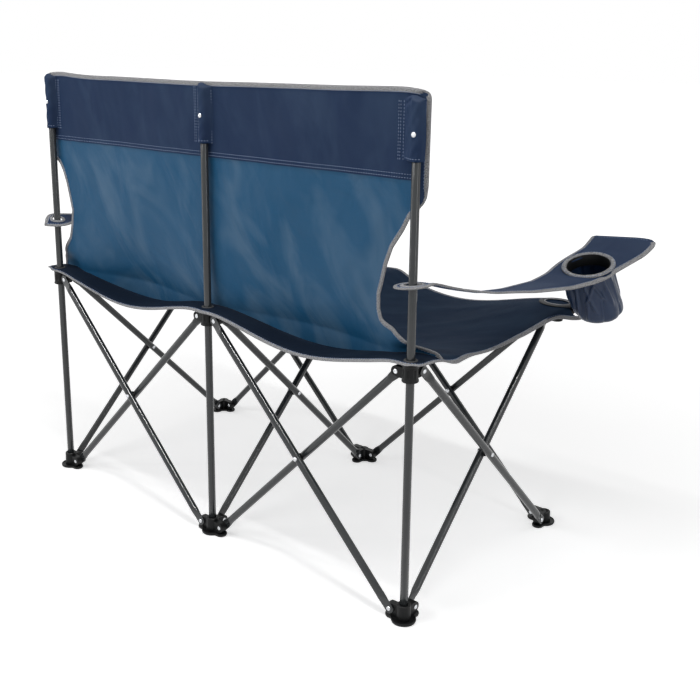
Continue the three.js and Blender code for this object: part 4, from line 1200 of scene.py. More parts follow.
class LOVESEAT_OT_arm_posts(bpy.types.Operator):
    """Builds the two leaning arm posts and the moulded caps under the armrests"""

    bl_idname = "loveseat.arm_posts"
    bl_label = "Arm Posts"

    def execute(self, context):
        inner = TUBE_RADIUS + 0.0006
        cup = [(inner, 0.0003), (inner, -CAP_LENGTH), (CAP_RADIUS - 0.0006, -CAP_LENGTH),
               (CAP_RADIUS, 0.0006 - CAP_LENGTH), (CAP_RADIUS, -0.002), (CAP_RADIUS - 0.0008, 0.0008),
               (CAP_RADIUS - 0.003, 0.0024), (CAP_RADIUS - 0.007, 0.003)]
        for word, side in SIDES:
            low = np.array([side * ARM_PIVOT[0], -ARM_FORWARD, ARM_PIVOT[2]])
            tip = np.array([side * (BAY_WIDTH + ARM_TIP_OUT), -ARM_FORWARD, ARM_TIP_HEIGHT])
            tube = tube_between(low, tip, BACKWARD, context.scene.loveseat_frame.sides, False)
            hard_piece(f"{word}_arm_post", [tube, end_rivet(low, -BACKWARD)], ("steel", "zinc"), 50)
            along = unit(tip - low)
            cap = solid(placed(turned(cup, 40), tip, np.cross(BACKWARD, along), BACKWARD, along))
            hard_piece(f"{word}_arm_cap", [cap], ("moulding",), 50)
        return {"FINISHED"}


# Cloth

def creased(x, y, creases, across, up, base=0.0):
    """Height of listed creases: each is depth * exp(-(d / width)^2), where d is the distance to the line
    between its ends, and it fades towards those ends. The ends are shares, at share * across and
    base + share * up."""
    total = np.zeros(np.broadcast(x, y).shape)
    for x0, y0, x1, y1, depth, width in creases:
        first = np.array([x0 * across, base + y0 * up])
        run = np.array([x1 * across, base + y1 * up]) - first
        length = np.hypot(*run)
        t = ((x - first[0]) * run[0] + (y - first[1]) * run[1]) / length / length
        off = ((x - first[0]) * run[1] - (y - first[1]) * run[0]) / length
        fade = ease(t, 0.0, 0.25) * (1 - ease(t, 0.7, 1.0))
        total += depth * fade * bell(off + 0.15 * width * np.sin(9 * t), 0, width)
    return total


def slack(distance, bay):
    """How slack cloth hangs at a distance along a bay: sin(pi s)^1.5, with none where it rests on a hub."""
    share = np.clip((distance - SEAT_REST) / (bay - 2 * SEAT_REST), 0, 1)
    return np.sin(np.pi * share) ** 1.5


def rear_overhang(bay):
    """How far the seat reaches behind the posts at a share of a bay's width: scalloped by a sine."""
    return SEAT_REAR_OVERHANG - SEAT_REAR_SCALLOP * np.sin(np.pi * bay)


def seat_surface(x, y):
    """Height of the seat: level on the hubs, sagging by sin^1.5 along each bay, with waves and creases.

    Its rear edge turns down as a lip, its sides droop outside the hubs, and its front edge stays up beside
    the centre hub.
    """
    aside = np.abs(x)
    across, along = slack(aside, BAY_WIDTH), slack(-y, BAY_DEPTH)
    waves = SEAT_WAVE * across * along * np.sin(SEAT_FOLDS * np.pi * (aside - y) / BAY_WIDTH)
    both = (2 * SEAT_EDGE_SAG - SEAT_CENTRE_SAG) * across * along
    rear = rear_overhang(np.clip(aside / BAY_WIDTH, 0, 1))
    ear = ease(-y, SEAT_EAR_FROM, SEAT_EAR_TO)
    outside = ease(aside - BAY_WIDTH - SEAT_EAR_SHIFT * ear, SEAT_DROOP_FROM, SEAT_DROOP_TO)
    drooped = (SEAT_SIDE_DROOP * ease(-y, 0.02, 0.12) + SEAT_EAR_DROOP * ear) * outside
    lifted = SEAT_HUB_LIFT * bell(aside, SEAT_HUB_LIFT_PLACE, SEAT_HUB_LIFT_WIDTH)
    drooped = drooped - lifted * ease(-y, 0.38, 0.50)
    lip = SEAT_REAR_LIP * (1 - 0.7 * ease(aside, 0.42, 0.50)) * ease(y, rear - 0.007, rear + 0.002)
    creases = creased(x, y, SEAT_CREASES, BAY_WIDTH, -BAY_DEPTH)
    return SEAT_HEIGHT - SEAT_EDGE_SAG * (across + along) + both + waves + creases - drooped - lip


def open_hole(x, y, centre, radius, reach):
    """Opens a round hole in grid places: a place at distance d from the nearest grid point to the centre,
    where d < reach, moves out to radius + (d - first) (reach - radius) / (reach - first), and first is the
    distance of the next grid point. Returns the nearest grid point too."""
    nearest = int(np.argmin(np.hypot(x - centre[0], y - centre[1])))
    dx, dy = x - x.flat[nearest], y - y.flat[nearest]
    d = np.maximum(np.hypot(dx, dy), 1e-9)
    first = np.partition(d.ravel(), 1)[1]
    moved = radius + np.maximum(d - first, 0) * (reach - radius) / (reach - first)
    scale = np.where(d < reach, moved / d, 1.0)
    return x + dx * (scale - 1), y + dy * (scale - 1), nearest


def seat_grid(half):
    """Places of half of the seat, rear or front, over both bays.

    Columns run in shares s of a bay: to 1 at the outer posts and to 2 at the outline. Rows run in shares t:
    0 at the rear posts, 1 at the middle and 2 at the front hubs, and one more to each outline. The outline is
    scalloped by a sine between the hubs, and turns round the corner hubs as an arc.
    """
    s = np.concatenate([np.linspace(-2, -1, 9)[:-1], np.linspace(-1, 1, 129), np.linspace(1, 2, 9)[1:]])
    if half == "rear":
        t = np.concatenate([np.linspace(-1, 0, 6)[:-1], np.linspace(0, 1, 37)])
    else:
        t = np.concatenate([np.linspace(1, 2, 37), np.linspace(2, 3, 9)[1:]])
    s, t = np.meshgrid(s, t)
    bay = np.minimum(np.abs(s), 1)
    front = (-BAY_DEPTH - SEAT_FRONT_OVERHANG - SEAT_EAR * bay ** 6 / 2
             + SEAT_FRONT_SCALLOP * np.sin(np.pi * bay))
    corner = 1 - 0.35 * ease(np.abs(s), 1.0, 2.0)
    y = np.where(t < 0, -t * rear_overhang(bay) * corner, -BAY_DEPTH / 2 * np.clip(t, 0, 2))
    y = np.where(t > 2, -BAY_DEPTH + (front + BAY_DEPTH) * (t - 2), y)
    depth = np.clip(-y / BAY_DEPTH, 0, 1)
    outer = BAY_WIDTH + SEAT_OVERHANG + SEAT_EAR * depth ** 4 - SEAT_SIDE_SCALLOP * np.sin(np.pi * depth)
    outer = np.where(y > 0, BAY_WIDTH + np.sqrt(np.maximum(SEAT_OVERHANG ** 2 - y ** 2, 1e-6)), outer)
    outer = outer + np.where(s < 0, 0.010, 0.0) * ease(-y, -0.01, 0.04) * (1 - ease(-y, 0.05, 0.20))
    turn = BAY_DEPTH + SEAT_FRONT_OVERHANG + SEAT_EAR / 2 - SEAT_EAR_RADIUS
    arc = np.sqrt(np.maximum(SEAT_EAR_RADIUS ** 2 - np.maximum(-y - turn, 0) ** 2, 4e-6))
    outer = np.where(-y > turn, BAY_WIDTH + SEAT_OVERHANG + SEAT_EAR - SEAT_EAR_RADIUS + arc, outer)
    over = np.maximum(np.abs(s) - 1, 0)
    return np.sign(s) * (BAY_WIDTH * bay + (outer - BAY_WIDTH) * over), y


def arm_post_at(height):
    """How far out an arm post's middle line is at a height."""
    share = (height - ARM_PIVOT[2]) / (ARM_TIP_HEIGHT - ARM_PIVOT[2])
    return ARM_PIVOT[0] + share * (BAY_WIDTH + ARM_TIP_OUT - ARM_PIVOT[0])


def ring_piece(name, centre, radius, thread, kind, body, squeeze=1.0, rise=1.0):
    """A bound ring about a hole: an oval section carried round a circle, squeezed along X."""
    angle, section = once_round(48), once_round(10)
    out = xyz(np.cos(angle) * squeeze, np.sin(angle), 0.0)
    profile = np.transpose([thread * np.cos(section), thread * rise * np.sin(section)])
    ring = carried(out * radius, unit(out), np.broadcast_to(UP, out.shape), profile, closed=True)
    ring["points"] = ring["points"] + np.asarray(centre)
    trim(name, [ring], kind, body, side=None)


class LOVESEAT_OT_seat(bpy.types.Operator):
    """Builds the seat in two halves that fold, with its binding, stitching, eyelets and corner loops"""

    bl_idname = "loveseat.seat"
    bl_label = "Seat"

    def execute(self, context):
        settings = context.scene.loveseat_cloth
        holes = {"rear": [((side * BAY_WIDTH, 0), POST_HOLE_RADIUS) for side in (-1, 0, 1)],
                 "front": [((side * arm_post_at(SEAT_HEIGHT), -ARM_FORWARD), ARM_HOLE_RADIUS)
                           for side in (-1, 1)]}
        for half, openings in holes.items():
            x, y = seat_grid(half)
            removed = []
            for middle, radius in openings:
                x, y, gone = open_hole(x, y, middle, radius, SEAT_HOLE_REACH)
                removed.append(gone)
            points = xyz(x, y, seat_surface(x, y))
            part = cloth(points, points[..., :2], removed)
            nodes = [f"seat_{half}_left", f"seat_{half}_right"]
            wide = 2 * (BAY_WIDTH + SEAT_OVERHANG + SEAT_EAR)
            soft_piece(f"seat_{half}", part, "seat", nodes, "seat_cloth", settings.thickness,
                       flat=(wide, BAY_DEPTH / 2 + SEAT_FLAT_ALLOWANCE), held="hung",
                       rests_on=[f"{half}_{column}_hub" for column, _ in COLUMNS], area=sheet_area(part))

            grid = points[::-1] if half == "rear" else points
            path, inner = three_sides(grid), three_sides(grid, 2)
            narrow = 0.3 + 0.25 * ease(path[:, :1], 0.16, 0.30)
            width = settings.binding_width * (1 - narrow * ease(path[:, 1:2], -0.02, 0.0))
            bound = binding(path, inner, width[:, 0], settings.binding_rise)
            trim(f"seat_{half}_binding", [bound], "tape", f"seat_{half}_half")
            side, normal = axes_along(path, inner)
            sewn = seams(path + side * width * SEAM_SHARE, normal, settings.binding_rise * 0.95, settings)
            trim(f"seat_{half}_stitching", sewn, "thread", f"seat_{half}_half")
        for column, side in COLUMNS:
            ring_piece(f"seat_eyelet_{column}", (side * BAY_WIDTH, 0, SEAT_HEIGHT + 0.0008),
                       POST_HOLE_RADIUS + 0.0010, 0.0024, "webbing", f"rear_{column}_slider", rise=0.6)
        for word, side in SIDES:
            x, y, z = side * BAY_WIDTH, 0.002 - BAY_DEPTH, SEAT_HEIGHT + 0.0018
            body = f"front_{word}_corner"
            ring_piece(f"seat_corner_loop_{word}", (x, y, z), 0.0265, 0.0058, "webbing", body, 1.25, 0.42)
            ring_piece(f"seat_corner_piping_{word}", (x, y, z + 0.0016), 0.0210, 0.0011, "cord", body, 1.28)
        return {"FINISHED"}


def drop_at(height):
    """How far down a height lies from the band, at 0, to the seat, at 1."""
    return (BAND_LOW - height) / (BAND_LOW - SEAT_HEIGHT)


def back_half_width(side, height, top):
    """Half width of the back on one side: the scooped edge by the table, and a quarter round at the top."""
    half, = by_table(BACK_EDGES[side], np.clip(1 - drop_at(height), BACK_EDGES[side][0][0], 1.9), 0.016)
    corner = np.clip((height - (top - BACK_CORNER_RADIUS)) / BACK_CORNER_RADIUS, 0, 1)
    return half * BAY_WIDTH - BACK_CORNER_RADIUS * (1 - np.sqrt(1 - corner ** 2))


def back_top(share):
    """Height of the top edge, by the table."""
    return BACK_TOP + by_table(BACK_TOP_EDGE, share, 0.06)[0] / 1000


def band_low(share):
    """Height of the band's lower edge: it hangs a little lower on the sitter's left, and runs on down the
    right wing, so that the darker navy cloth stands as painted shade where the wing lies in the post's
    shadow."""
    # Painted shade: the band's navy runs down the right wing in place of the shadow beside the post
    return BAND_LOW - 0.003 - 0.004 * share - 0.044 * ease(-share, 0.980, 0.990)


def back_surface(share, height, band=False):
    """A point of the back at a share of its half width and a height.

    The cloth passes just in front of the posts, bellies between them, runs forward to the seat as the fifth
    power of the drop, and its lower corners flare forward to the sides of the seat.
    """
    top = back_top(share)
    x = share * np.where(share > 0, back_half_width(1, height, top), back_half_width(-1, height, top))
    aside, left = np.abs(x), x > 0
    bay = np.sin(np.pi * np.minimum(aside / BAY_WIDTH, 1)) ** 2
    lower = np.clip(drop_at(height), 0, 1)
    forward = (BACK_FOOT_FORWARD - POST_TO_CLOTH) * (0.3 + 0.7 * bay) * lower ** 5
    folds = BACK_FOLD * bay * np.sin(3 * np.pi * (x + height) / BAY_WIDTH)
    wrapped = np.where(left, BACK_WRAP_LEFT * ease(x, BAY_WIDTH + 0.006, BAY_WIDTH + 0.022),
                       BACK_WRAP_RIGHT * ease(-x, BAY_WIDTH - 0.002, BAY_WIDTH + 0.009)) * (1 - lower)
    flare = np.where(left, 0.4, 1.0) * ease(lower, np.where(left, 0.86, 0.915), 0.99)
    flare = flare * ease(aside, 0.445, 0.500)
    y = -POST_TO_CLOTH - forward - BACK_BELLY * bay * np.maximum(lower, 0.25) - folds - wrapped
    y = y - BACK_FLARE * flare
    if band:
        wrinkles = sum(depth * bell(x, place * BAY_WIDTH + 0.012 * np.sin(30 * height), width)
                       for place, depth, width in BAND_WRINKLES)
        held = ease(np.abs(aside - BAY_WIDTH), 0.015, 0.05) * ease(aside, 0.015, 0.05)
        y = y + BAND_STEP / 2 + wrinkles * held
    else:
        creases = creased(x, height, PANEL_CREASES, BAY_WIDTH, BAND_LOW - SEAT_HEIGHT, SEAT_HEIGHT)
        y = y - BAND_STEP / 2 + creases * ease(aside, 0.010, 0.030)
    return xyz(x, y, height)


def panel_foot(share):
    """Height at which the panel meets the seat, found by stepping between the two surfaces."""
    foot = np.full(np.shape(share), SEAT_HEIGHT)
    for _ in range(5):
        at = back_surface(share, foot)
        foot = seat_surface(at[..., 0], at[..., 1]) + SEAT_FOOT_GAP
    return foot


def back_side(sign, inset):
    """One side of the back from the seat up and round its top corner: its edge with an inset of 0, and a line
    inside it with an inset of 1."""
    edge = np.full(160, float(sign))
    place = edge * (1 - 0.05 * inset)
    low = panel_foot(edge)
    heights = low + (back_top(edge) - BACK_CORNER_RADIUS - low) * np.linspace(0, 1, 160)
    upright = np.where((heights > band_low(edge))[:, None], back_surface(place, heights, True),
                       back_surface(place, heights))
    turn = np.linspace(0, 1, 12)[1:-1]
    corner = back_top(edge[:10]) - BACK_CORNER_RADIUS * (1 - np.sin(turn * np.pi / 2)) - 0.02 * turn * inset
    return np.concatenate([upright, back_surface(place[:10], corner, True)])


class LOVESEAT_OT_backrest(bpy.types.Operator):
    """Builds the backrest: navy band, coated panel, binding and rows of stitching"""

    bl_idname = "loveseat.backrest"
    bl_label = "Backrest"

    def execute(self, context):
        settings = context.scene.loveseat_cloth
        body = body_of("backrest_band")
        share, v = np.meshgrid(np.linspace(-1, 1, 201), np.sin(np.linspace(0, np.pi / 2, 49)))
        band = back_surface(share, band_low(share) + (back_top(share) - band_low(share)) * v, band=True)
        share, v = np.meshgrid(np.linspace(-1, 1, 201), np.linspace(0, 1, 91))
        foot = panel_foot(share)
        panel = back_surface(share, foot + (band_low(share) + BAND_OVERLAP - foot) * v)
        width = 2 * (BAY_WIDTH + BACK_WING + 0.008) + 0.03
        for node, points, kind, slot, tall, rests in (
                ("backrest_band", band, "navy", "navy_cloth", BACK_TOP - BAND_LOW + 0.01,
                 [f"rear_{column}_post" for column, _ in COLUMNS]),
                ("backrest_panel", panel, "panel", "blue_cloth", BAND_LOW - SEAT_HEIGHT + 0.07,
                 ["backrest_band"])):
            part = cloth(points, points[..., [0, 2]])
            soft_piece(f"fine_{node}", part, kind, [node], slot, settings.thickness,
                       flat=(width, tall), held="stretched", rests_on=rests, area=sheet_area(part))

        across = np.linspace(-0.97, 0.97, 220)
        path, inner = (
            np.concatenate([back_side(-1, inset), back_surface(across, back_top(across) - drop, True),
                            back_side(1, inset)[::-1]]) for inset, drop in ((0, 0.0002), (1, 0.02)))
        side, normal = axes_along(path, inner)
        wing = ease(-path[:, :1], BAY_WIDTH, BAY_WIDTH + 0.004) * ease(path[:, 2:], BAND_LOW - 0.03, BAND_LOW)
        width = settings.binding_width * (0.76 + 0.24 * np.maximum(np.abs(side[:, 2:]), wing))
        bound = binding(path, inner, width[:, 0], settings.binding_rise * 1.25)
        trim("backrest_binding", [bound], "tape", body)
        outward = np.where(normal[:, 1:2] < 0, -normal, normal)
        rows = seams(path + side * width * 0.70, outward, settings.binding_rise * 1.2, settings)
        across = np.linspace(-0.972, 0.985, 400)
        for rise in (0.0035, 0.0095):
            line = back_surface(across, band_low(across) + rise, True)
            rows.append(stitches(line + BACKWARD * settings.thickness * 0.6, BACKWARD, settings))
        trim("backrest_stitching", rows, "thread", body)
        return {"FINISHED"}


def sleeve_section(left, right, flange, count=61):
    """Section of a sleeve: a short flap, a straight run that touches the round of the post, the round, and a
    straight run down to the other flap. A run from a point at distance d touches a circle of radius r at
    acos(r / d) from the point's own angle."""
    radius, back = SLEEVE_RADIUS, SLEEVE_BACK
    touch = [sign * math.acos(radius / math.hypot(x, back)) for x, sign in ((left, 1), (-right, -1))]
    low, high = math.atan2(back, left) + touch[0], math.atan2(back, -right) % (2 * math.pi) + touch[1]
    arc = np.linspace(low, high, 19)
    xs = np.concatenate([[left + flange, left], radius * np.cos(arc), [-right, -right - flange]])
    ys = np.concatenate([[back, back], radius * np.sin(arc), [back, back]])
    run = distances(np.transpose([xs, ys]))
    at = np.linspace(0, run[-1], count)
    return *by_table(np.transpose([run, xs, ys]), at, 0.0024), at


class LOVESEAT_OT_sleeves(bpy.types.Operator):
    """Builds the three cloth sleeves over the post tops, with their stitched flaps"""

    bl_idname = "loveseat.sleeves"
    bl_label = "Post Sleeves"

    def execute(self, context):
        settings = context.scene.loveseat_cloth
        shoulder = POST_TOP + 0.001
        for name, (left, right, flange, rise, seam) in SLEEVES.items():
            sole = SOLES[name]
            xs, ys, at = sleeve_section(left, right, flange)
            low = SLEEVE_LOW + rise
            tall = np.concatenate([np.linspace(low, shoulder, 44),
                                   shoulder + SLEEVE_CROWN * np.sin(np.linspace(0, np.pi / 2, 10)[1:])])
            z = np.broadcast_to(tall[:, None], (len(tall), len(xs)))
            full = np.where(z < shoulder, 1.0,
                            np.sqrt(np.clip(1 - ((z - shoulder) / SLEEVE_CROWN) ** 2, 0.02, 1)))
            lift = ys - ys.min()
            held = ease(lift, 0.001, 0.007)
            slope = 0.0013 * np.sin(150 * z + 90 * xs) * ease(xs, 0.008, 0.020) * held
            rumple = 0.0005 * np.sin(230 * z + 3 * np.sin(160 * xs)) * held
            pinch = 0.0030 * bell(z + 0.25 * (xs - 0.012), POST_TOP + 0.0005, 0.0028) * held
            crinkle = np.maximum(rumple + slope, -0.0005) - pinch * ease(xs, 0.004, 0.012)
            y = ys.min() + (lift + crinkle) * full
            crown = z + 0.0025 * ease(z, shoulder - 0.004, shoulder) * np.sin(140 * xs)
            points = xyz(xs + 0.0006 * np.sin(70 * z), y, crown) + sole
            part = cloth(points, np.stack(np.broadcast_arrays(at, z), axis=-1))
            wide, high = float(at[-1]), float(tall[-1] - tall[0])
            soft_piece(f"fine_{name}_sleeve", part, "navy", [f"{name}_sleeve"], "navy_cloth",
                       settings.thickness, None, flat=(wide, high + 0.004), held="folded",
                       rests_on=[f"{name}_post"], area=min(sheet_area(part), wide * high))
            heights = np.linspace(low - 0.002, POST_TOP + 0.004, 60)
            rows = []
            for column, flap in ((left + 0.0010, True), (-right + 0.0004, True), (seam, False),
                                 (seam + math.copysign(0.004, seam), False)):
                share = np.full(60, (sole[0] + column) / (BAY_WIDTH + BACK_WING))
                depth = ys.min() + 0.0009 if flap else back_surface(share, heights, True)[:, 1] + 0.0008
                rows.append(stitches(xyz(sole[0] + column, depth, heights), BACKWARD, settings))
            edge_band = points[2, 8:-8]
            outward = unit(edge_band - sole - UP * points[2, 0, 2])
            rows.append(stitches(edge_band + outward * settings.thickness * 0.6, outward, settings))
            trim(f"{name}_sleeve_stitching", rows, "thread", body_of(f"{name}_sleeve"), side=None)
        return {"FINISHED"}


def strap_rows(side, forward):
    """Outward place, half width and height of the armrest's middle line at distances forward of the post.

    The listed rows are joined by straight runs with softened corners. Behind the post the end is round
    on the right, and more pointed on the left.
    """
    share = forward / ARM_FORWARD
    out, half, sag = by_table(STRAP_SHARES, share, 0.03)
    level = ARMREST_REAR_HEIGHT + (ARM_TIP_HEIGHT - ARMREST_REAR_HEIGHT) * np.clip(share, 0, 1)
    end = np.maximum(1 - (np.minimum(forward, 0) / ARMREST_REAR_RADIUS) ** 2, 0.02)
    half = half * ARMREST_HALF_WIDTH * end ** (0.9 if side > 0 else 0.5)
    return out * ARM_TIP_OUT, half, level + sag * ARMREST_SAG


def front_corner(forward, radius):
    """How much a quarter round takes off the armrest's half width at its front."""
    into = np.clip((forward - ARMREST_FRONT + radius) / radius, 0, 1)
    return radius * (1 - np.sqrt(1 - 0.98 * into ** 2))


def strap_height(side, outward, forward):
    """Height of the armrest: its middle line, twisted by the table, with its edges drooping a little.

    The left one's rear end droops behind the post too, as the square of the distance.
    """
    middle, half, height = strap_rows(side, forward)
    twists = by_table(STRAP_TWISTS, forward, 0.03)
    slope, rise = twists[1::2] if side > 0 else twists[::2]
    off = outward - middle
    droop = ARMREST_DROOP * np.clip(off / np.maximum(half, 0.005), 0, 1) ** 4 * ease(forward, 0.15, 0.4)
    tail = (0.0 if side < 0 else ARMREST_TAIL) * np.minimum(forward, 0) ** 2
    return height + slope * off + rise - droop - tail


def on_strap(side, outward, forward):
    return xyz(side * (BAY_WIDTH + outward), -forward, strap_height(side, outward, forward))


def cup_frame(side):
    """Centre and axes of a cup holder, square to the flat of the armrest round it."""
    height = strap_height(side, CUP_OUT + np.zeros(2), np.array([CUP_FORWARD - 0.03, CUP_FORWARD + 0.03]))
    up = unit(np.array([0.0, (height[1] - height[0]) / 0.06, 1.0]))
    centre = np.array([side * (BAY_WIDTH + CUP_OUT), -CUP_FORWARD, height.mean()])
    return centre, ACROSS, np.cross(up, ACROSS), up


class LOVESEAT_OT_armrests(bpy.types.Operator):
    """Builds the two armrest slings with their holes, binding, stitching and eyelets"""

    bl_idname = "loveseat.armrests"
    bl_label = "Armrests"

    def execute(self, context):
        settings = context.scene.loveseat_cloth
        rise = settings.binding_rise
        start = ARMREST_FRONT - ARMREST_CORNERS[1]
        rows = np.concatenate([np.linspace(-ARMREST_REAR_RADIUS, 0, 13)[:-1], np.linspace(0, start, 114)[:-1],
                               ARMREST_FRONT - ARMREST_CORNERS[1] * np.cos(np.linspace(0, np.pi / 2, 15))])
        across, forward = np.meshgrid(np.linspace(-1, 1, 33), rows)
        inner_cut, outer_cut = (front_corner(forward, radius) for radius in ARMREST_CORNERS)
        for word, side in SIDES:
            body = body_of(f"{word}_armrest")
            out, half, _ = strap_rows(side, forward)
            full = ARMREST_CUP_FULLNESS * half * bell(forward, CUP_FORWARD, 0.05)
            hollow = ARMREST_POST_HOLLOW * half * max(side, 0) * (1 - ease(forward, 0.0, 0.06))
            x = out + across * (half + np.where(across < 0, full - inner_cut, -hollow - outer_cut))
            x, y, post_hole = open_hole(x, forward, (0, 0), ARMREST_HOLE_RADIUS[side], ARMREST_HOLE_REACH)
            x, y, cup_hole = open_hole(x, y, (CUP_OUT, CUP_FORWARD), CUP_MOUTH + 0.0012, CUP_HOLE_REACH)
            points = on_strap(side, x, y)
            part = cloth(points, np.stack([x, y], axis=-1), [cup_hole, post_hole])
            soft_piece(f"fine_{word}_armrest", part, "navy", [f"{word}_armrest"], "navy_cloth",
                       ARMREST_THICKNESS, side, flat=(2 * ARMREST_HALF_WIDTH, ARMREST_FRONT + 0.06),
                       held="hung", rests_on=[f"rear_{word}_post", f"{word}_arm_cap"], area=sheet_area(part))

            grid = points[-3::-1, ::-1]
            path, inner = three_sides(grid), three_sides(grid, 3)
            room = three_sides(half[-3::-1])
            width = np.minimum(settings.binding_width, np.maximum(room, 0.010) * 0.85)
            width[-len(grid):] *= 0.75
            bound = binding(path, inner, width, rise * 1.3)
            trim(f"{word}_armrest_binding", [bound], "tape", body, side=side)
            inward, normal = axes_along(path, inner)
            sewn = seams(points[-4, 3:-3], UP, 0.0014, settings)
            sewn += seams(path + inward * width[:, None] * SEAM_SHARE, normal, rise * 1.2, settings)
            trim(f"{word}_armrest_stitching", sewn, "thread", body, side=side)
            turn = once_round(60)
            rim = on_strap(side, *(ARMREST_HOLE_RADIUS[side] * np.stack([np.cos(turn), np.sin(turn)])))
            outer_rim = rim + 0.01 * xyz(side * np.cos(turn), -np.sin(turn), 0.0)
            edge_tape = binding(rim, outer_rim, 0.007, rise * 1.1, closed=True)
            trim(f"{word}_armrest_hole_binding", [edge_tape], "tape", body, side=side)
            lift = UP * 0.0015
            cord = binding(rim + lift, outer_rim + lift, 0.0028, 0.0012, closed=True)
            trim(f"{word}_armrest_eyelet", [cord], "cord", body, side)
        return {"FINISHED"}


def pouch_radius(depth, angle):
    """Radius of the pouch at a depth and an angle: shares of the mouth's width, with gathers that are sharp
    inward creases, |cos|^0.7 - 0.6, between soft outward lobes."""
    share = depth / CUP_DEPTH
    fold, width = by_table(POUCH_SHARES, share, 0.05)
    lobes = np.abs(np.cos(CUP_FOLDS / 2 * angle + 0.5 * np.sin(2 * angle) + 1.6 * share)) ** 0.7
    pressed = sum(creased((angle + turn * 2 * np.pi) * CUP_MOUTH, depth, POUCH_CREASES,
                          math.radians(CUP_MOUTH), CUP_DEPTH) for turn in (-1, 0, 1))
    gathers = CUP_GATHER * fold * (lobes - 0.6)
    return width * (CUP_MOUTH + 0.001) + gathers + CUP_PRESS * pressed * ease(share, 0.0, 0.1)


class LOVESEAT_OT_cup_pouches(bpy.types.Operator):
    """Builds the gathered cup pouches, each with a bound ring and a stiff inner wall"""

    bl_idname = "loveseat.cup_pouches"
    bl_label = "Cup Pouches"

    def execute(self, context):
        settings = context.scene.loveseat_cloth
        outer, top = CUP_MOUTH + CUP_RING_WIDTH, CUP_LIP + CUP_RING_HEIGHT
        ring = [(CUP_MOUTH - 0.0004, -0.0012), (CUP_MOUTH + 0.002, -0.0014),
                (outer - 0.0012, CUP_LIP - 0.0014), (outer, CUP_LIP),
                (outer - 0.0007, CUP_LIP + CUP_RING_HEIGHT * 0.5),
                (CUP_MOUTH + CUP_RING_WIDTH * 0.72, CUP_LIP + CUP_RING_HEIGHT * 0.85),
                (CUP_MOUTH + CUP_RING_WIDTH * 0.4, top),
                (CUP_MOUTH + 0.0008, CUP_LIP + CUP_RING_HEIGHT * 0.8), (CUP_MOUTH - 0.0006, CUP_LIP)]
        wall = [(CUP_MOUTH - inset, height) for inset, height in (
            (0.0008, 0.002), (0.0008, -0.020), (0.0016, -0.0205), (0.0022, -0.020), (0.0022, 0.002),
            (0.0014, 0.0032))]
        angle, circle = once_round(240), np.linspace(0, 2 * np.pi, 180)
        rim = CUP_MOUTH + CUP_RING_WIDTH * 0.82
        seam = xyz(rim * np.cos(circle), rim * np.sin(circle), CUP_LIP + CUP_RING_HEIGHT * 0.76)
        depth = np.concatenate([np.linspace(0, CUP_DEPTH * 0.9, 60),
                                CUP_DEPTH * (0.9 + 0.1 * np.sin(np.linspace(0, np.pi / 2, 9)[1:]))])[:, None]
        radius = pouch_radius(*np.broadcast_arrays(depth, angle))
        inward = np.array([[0.86], [0.66], [0.42], [0.2], [0.06]])
        radius = np.concatenate([radius, inward * radius[-1]])
        lean = CUP_LEAN * np.concatenate([(depth / CUP_DEPTH) ** 2, np.ones((5, 1))])
        depth = np.concatenate([depth, CUP_DEPTH + 0.0012 * np.sqrt(1 - inward ** 2)])
        for word, side in SIDES:
            axes = cup_frame(side)
            body = body_of(f"{word}_cup_pouch")
            points = placed(xyz(radius * np.cos(angle) + side * lean, radius * np.sin(angle), -depth), *axes)
            steps = np.linalg.norm(np.diff(points, axis=0), axis=2)
            run = np.concatenate([[0], np.cumsum(steps, axis=0).mean(axis=1)])
            places = np.stack(np.meshgrid(np.linspace(0, 2 * np.pi * CUP_MOUTH, 241), run), axis=-1)
            part = cloth(points, places, closed_columns=True)
            last = np.arange(len(part["points"]) - 240, len(part["points"]))[None]
            part["faces"].append(last[:, ::-1])
            part["places"].append(np.zeros((1, 240, 2)))
            soft_piece(f"fine_{word}_cup_pouch", part, "pouch", [f"{word}_cup_pouch"], "navy_cloth",
                       settings.thickness, side)
            bound = solid(placed(turned(ring, 96), *axes), closed=True)
            trim(f"{word}_cup_ring", [bound], "tape", body, side=side)
            sewn = stitches(placed(seam, *axes), axes[-1], settings)
            trim(f"{word}_cup_ring_stitching", [sewn], "thread", body, side=side)
            liner = solid(placed(turned(wall, 96), *axes), closed=True)
            trim(f"{word}_cup_liner", [liner], "moulding", body, side, 50)
        return {"FINISHED"}


# Stage

def seen_mask(tree):
    """1 for rays from the camera, off gloss and through glass, and 0 for the light that falls on things."""
    path = tree.nodes.new("ShaderNodeLightPath")
    seen = math_node(tree, "MAXIMUM", path.outputs["Is Camera Ray"], path.outputs["Is Glossy Ray"])
    return math_node(tree, "MAXIMUM", seen, path.outputs["Is Transmission Ray"])


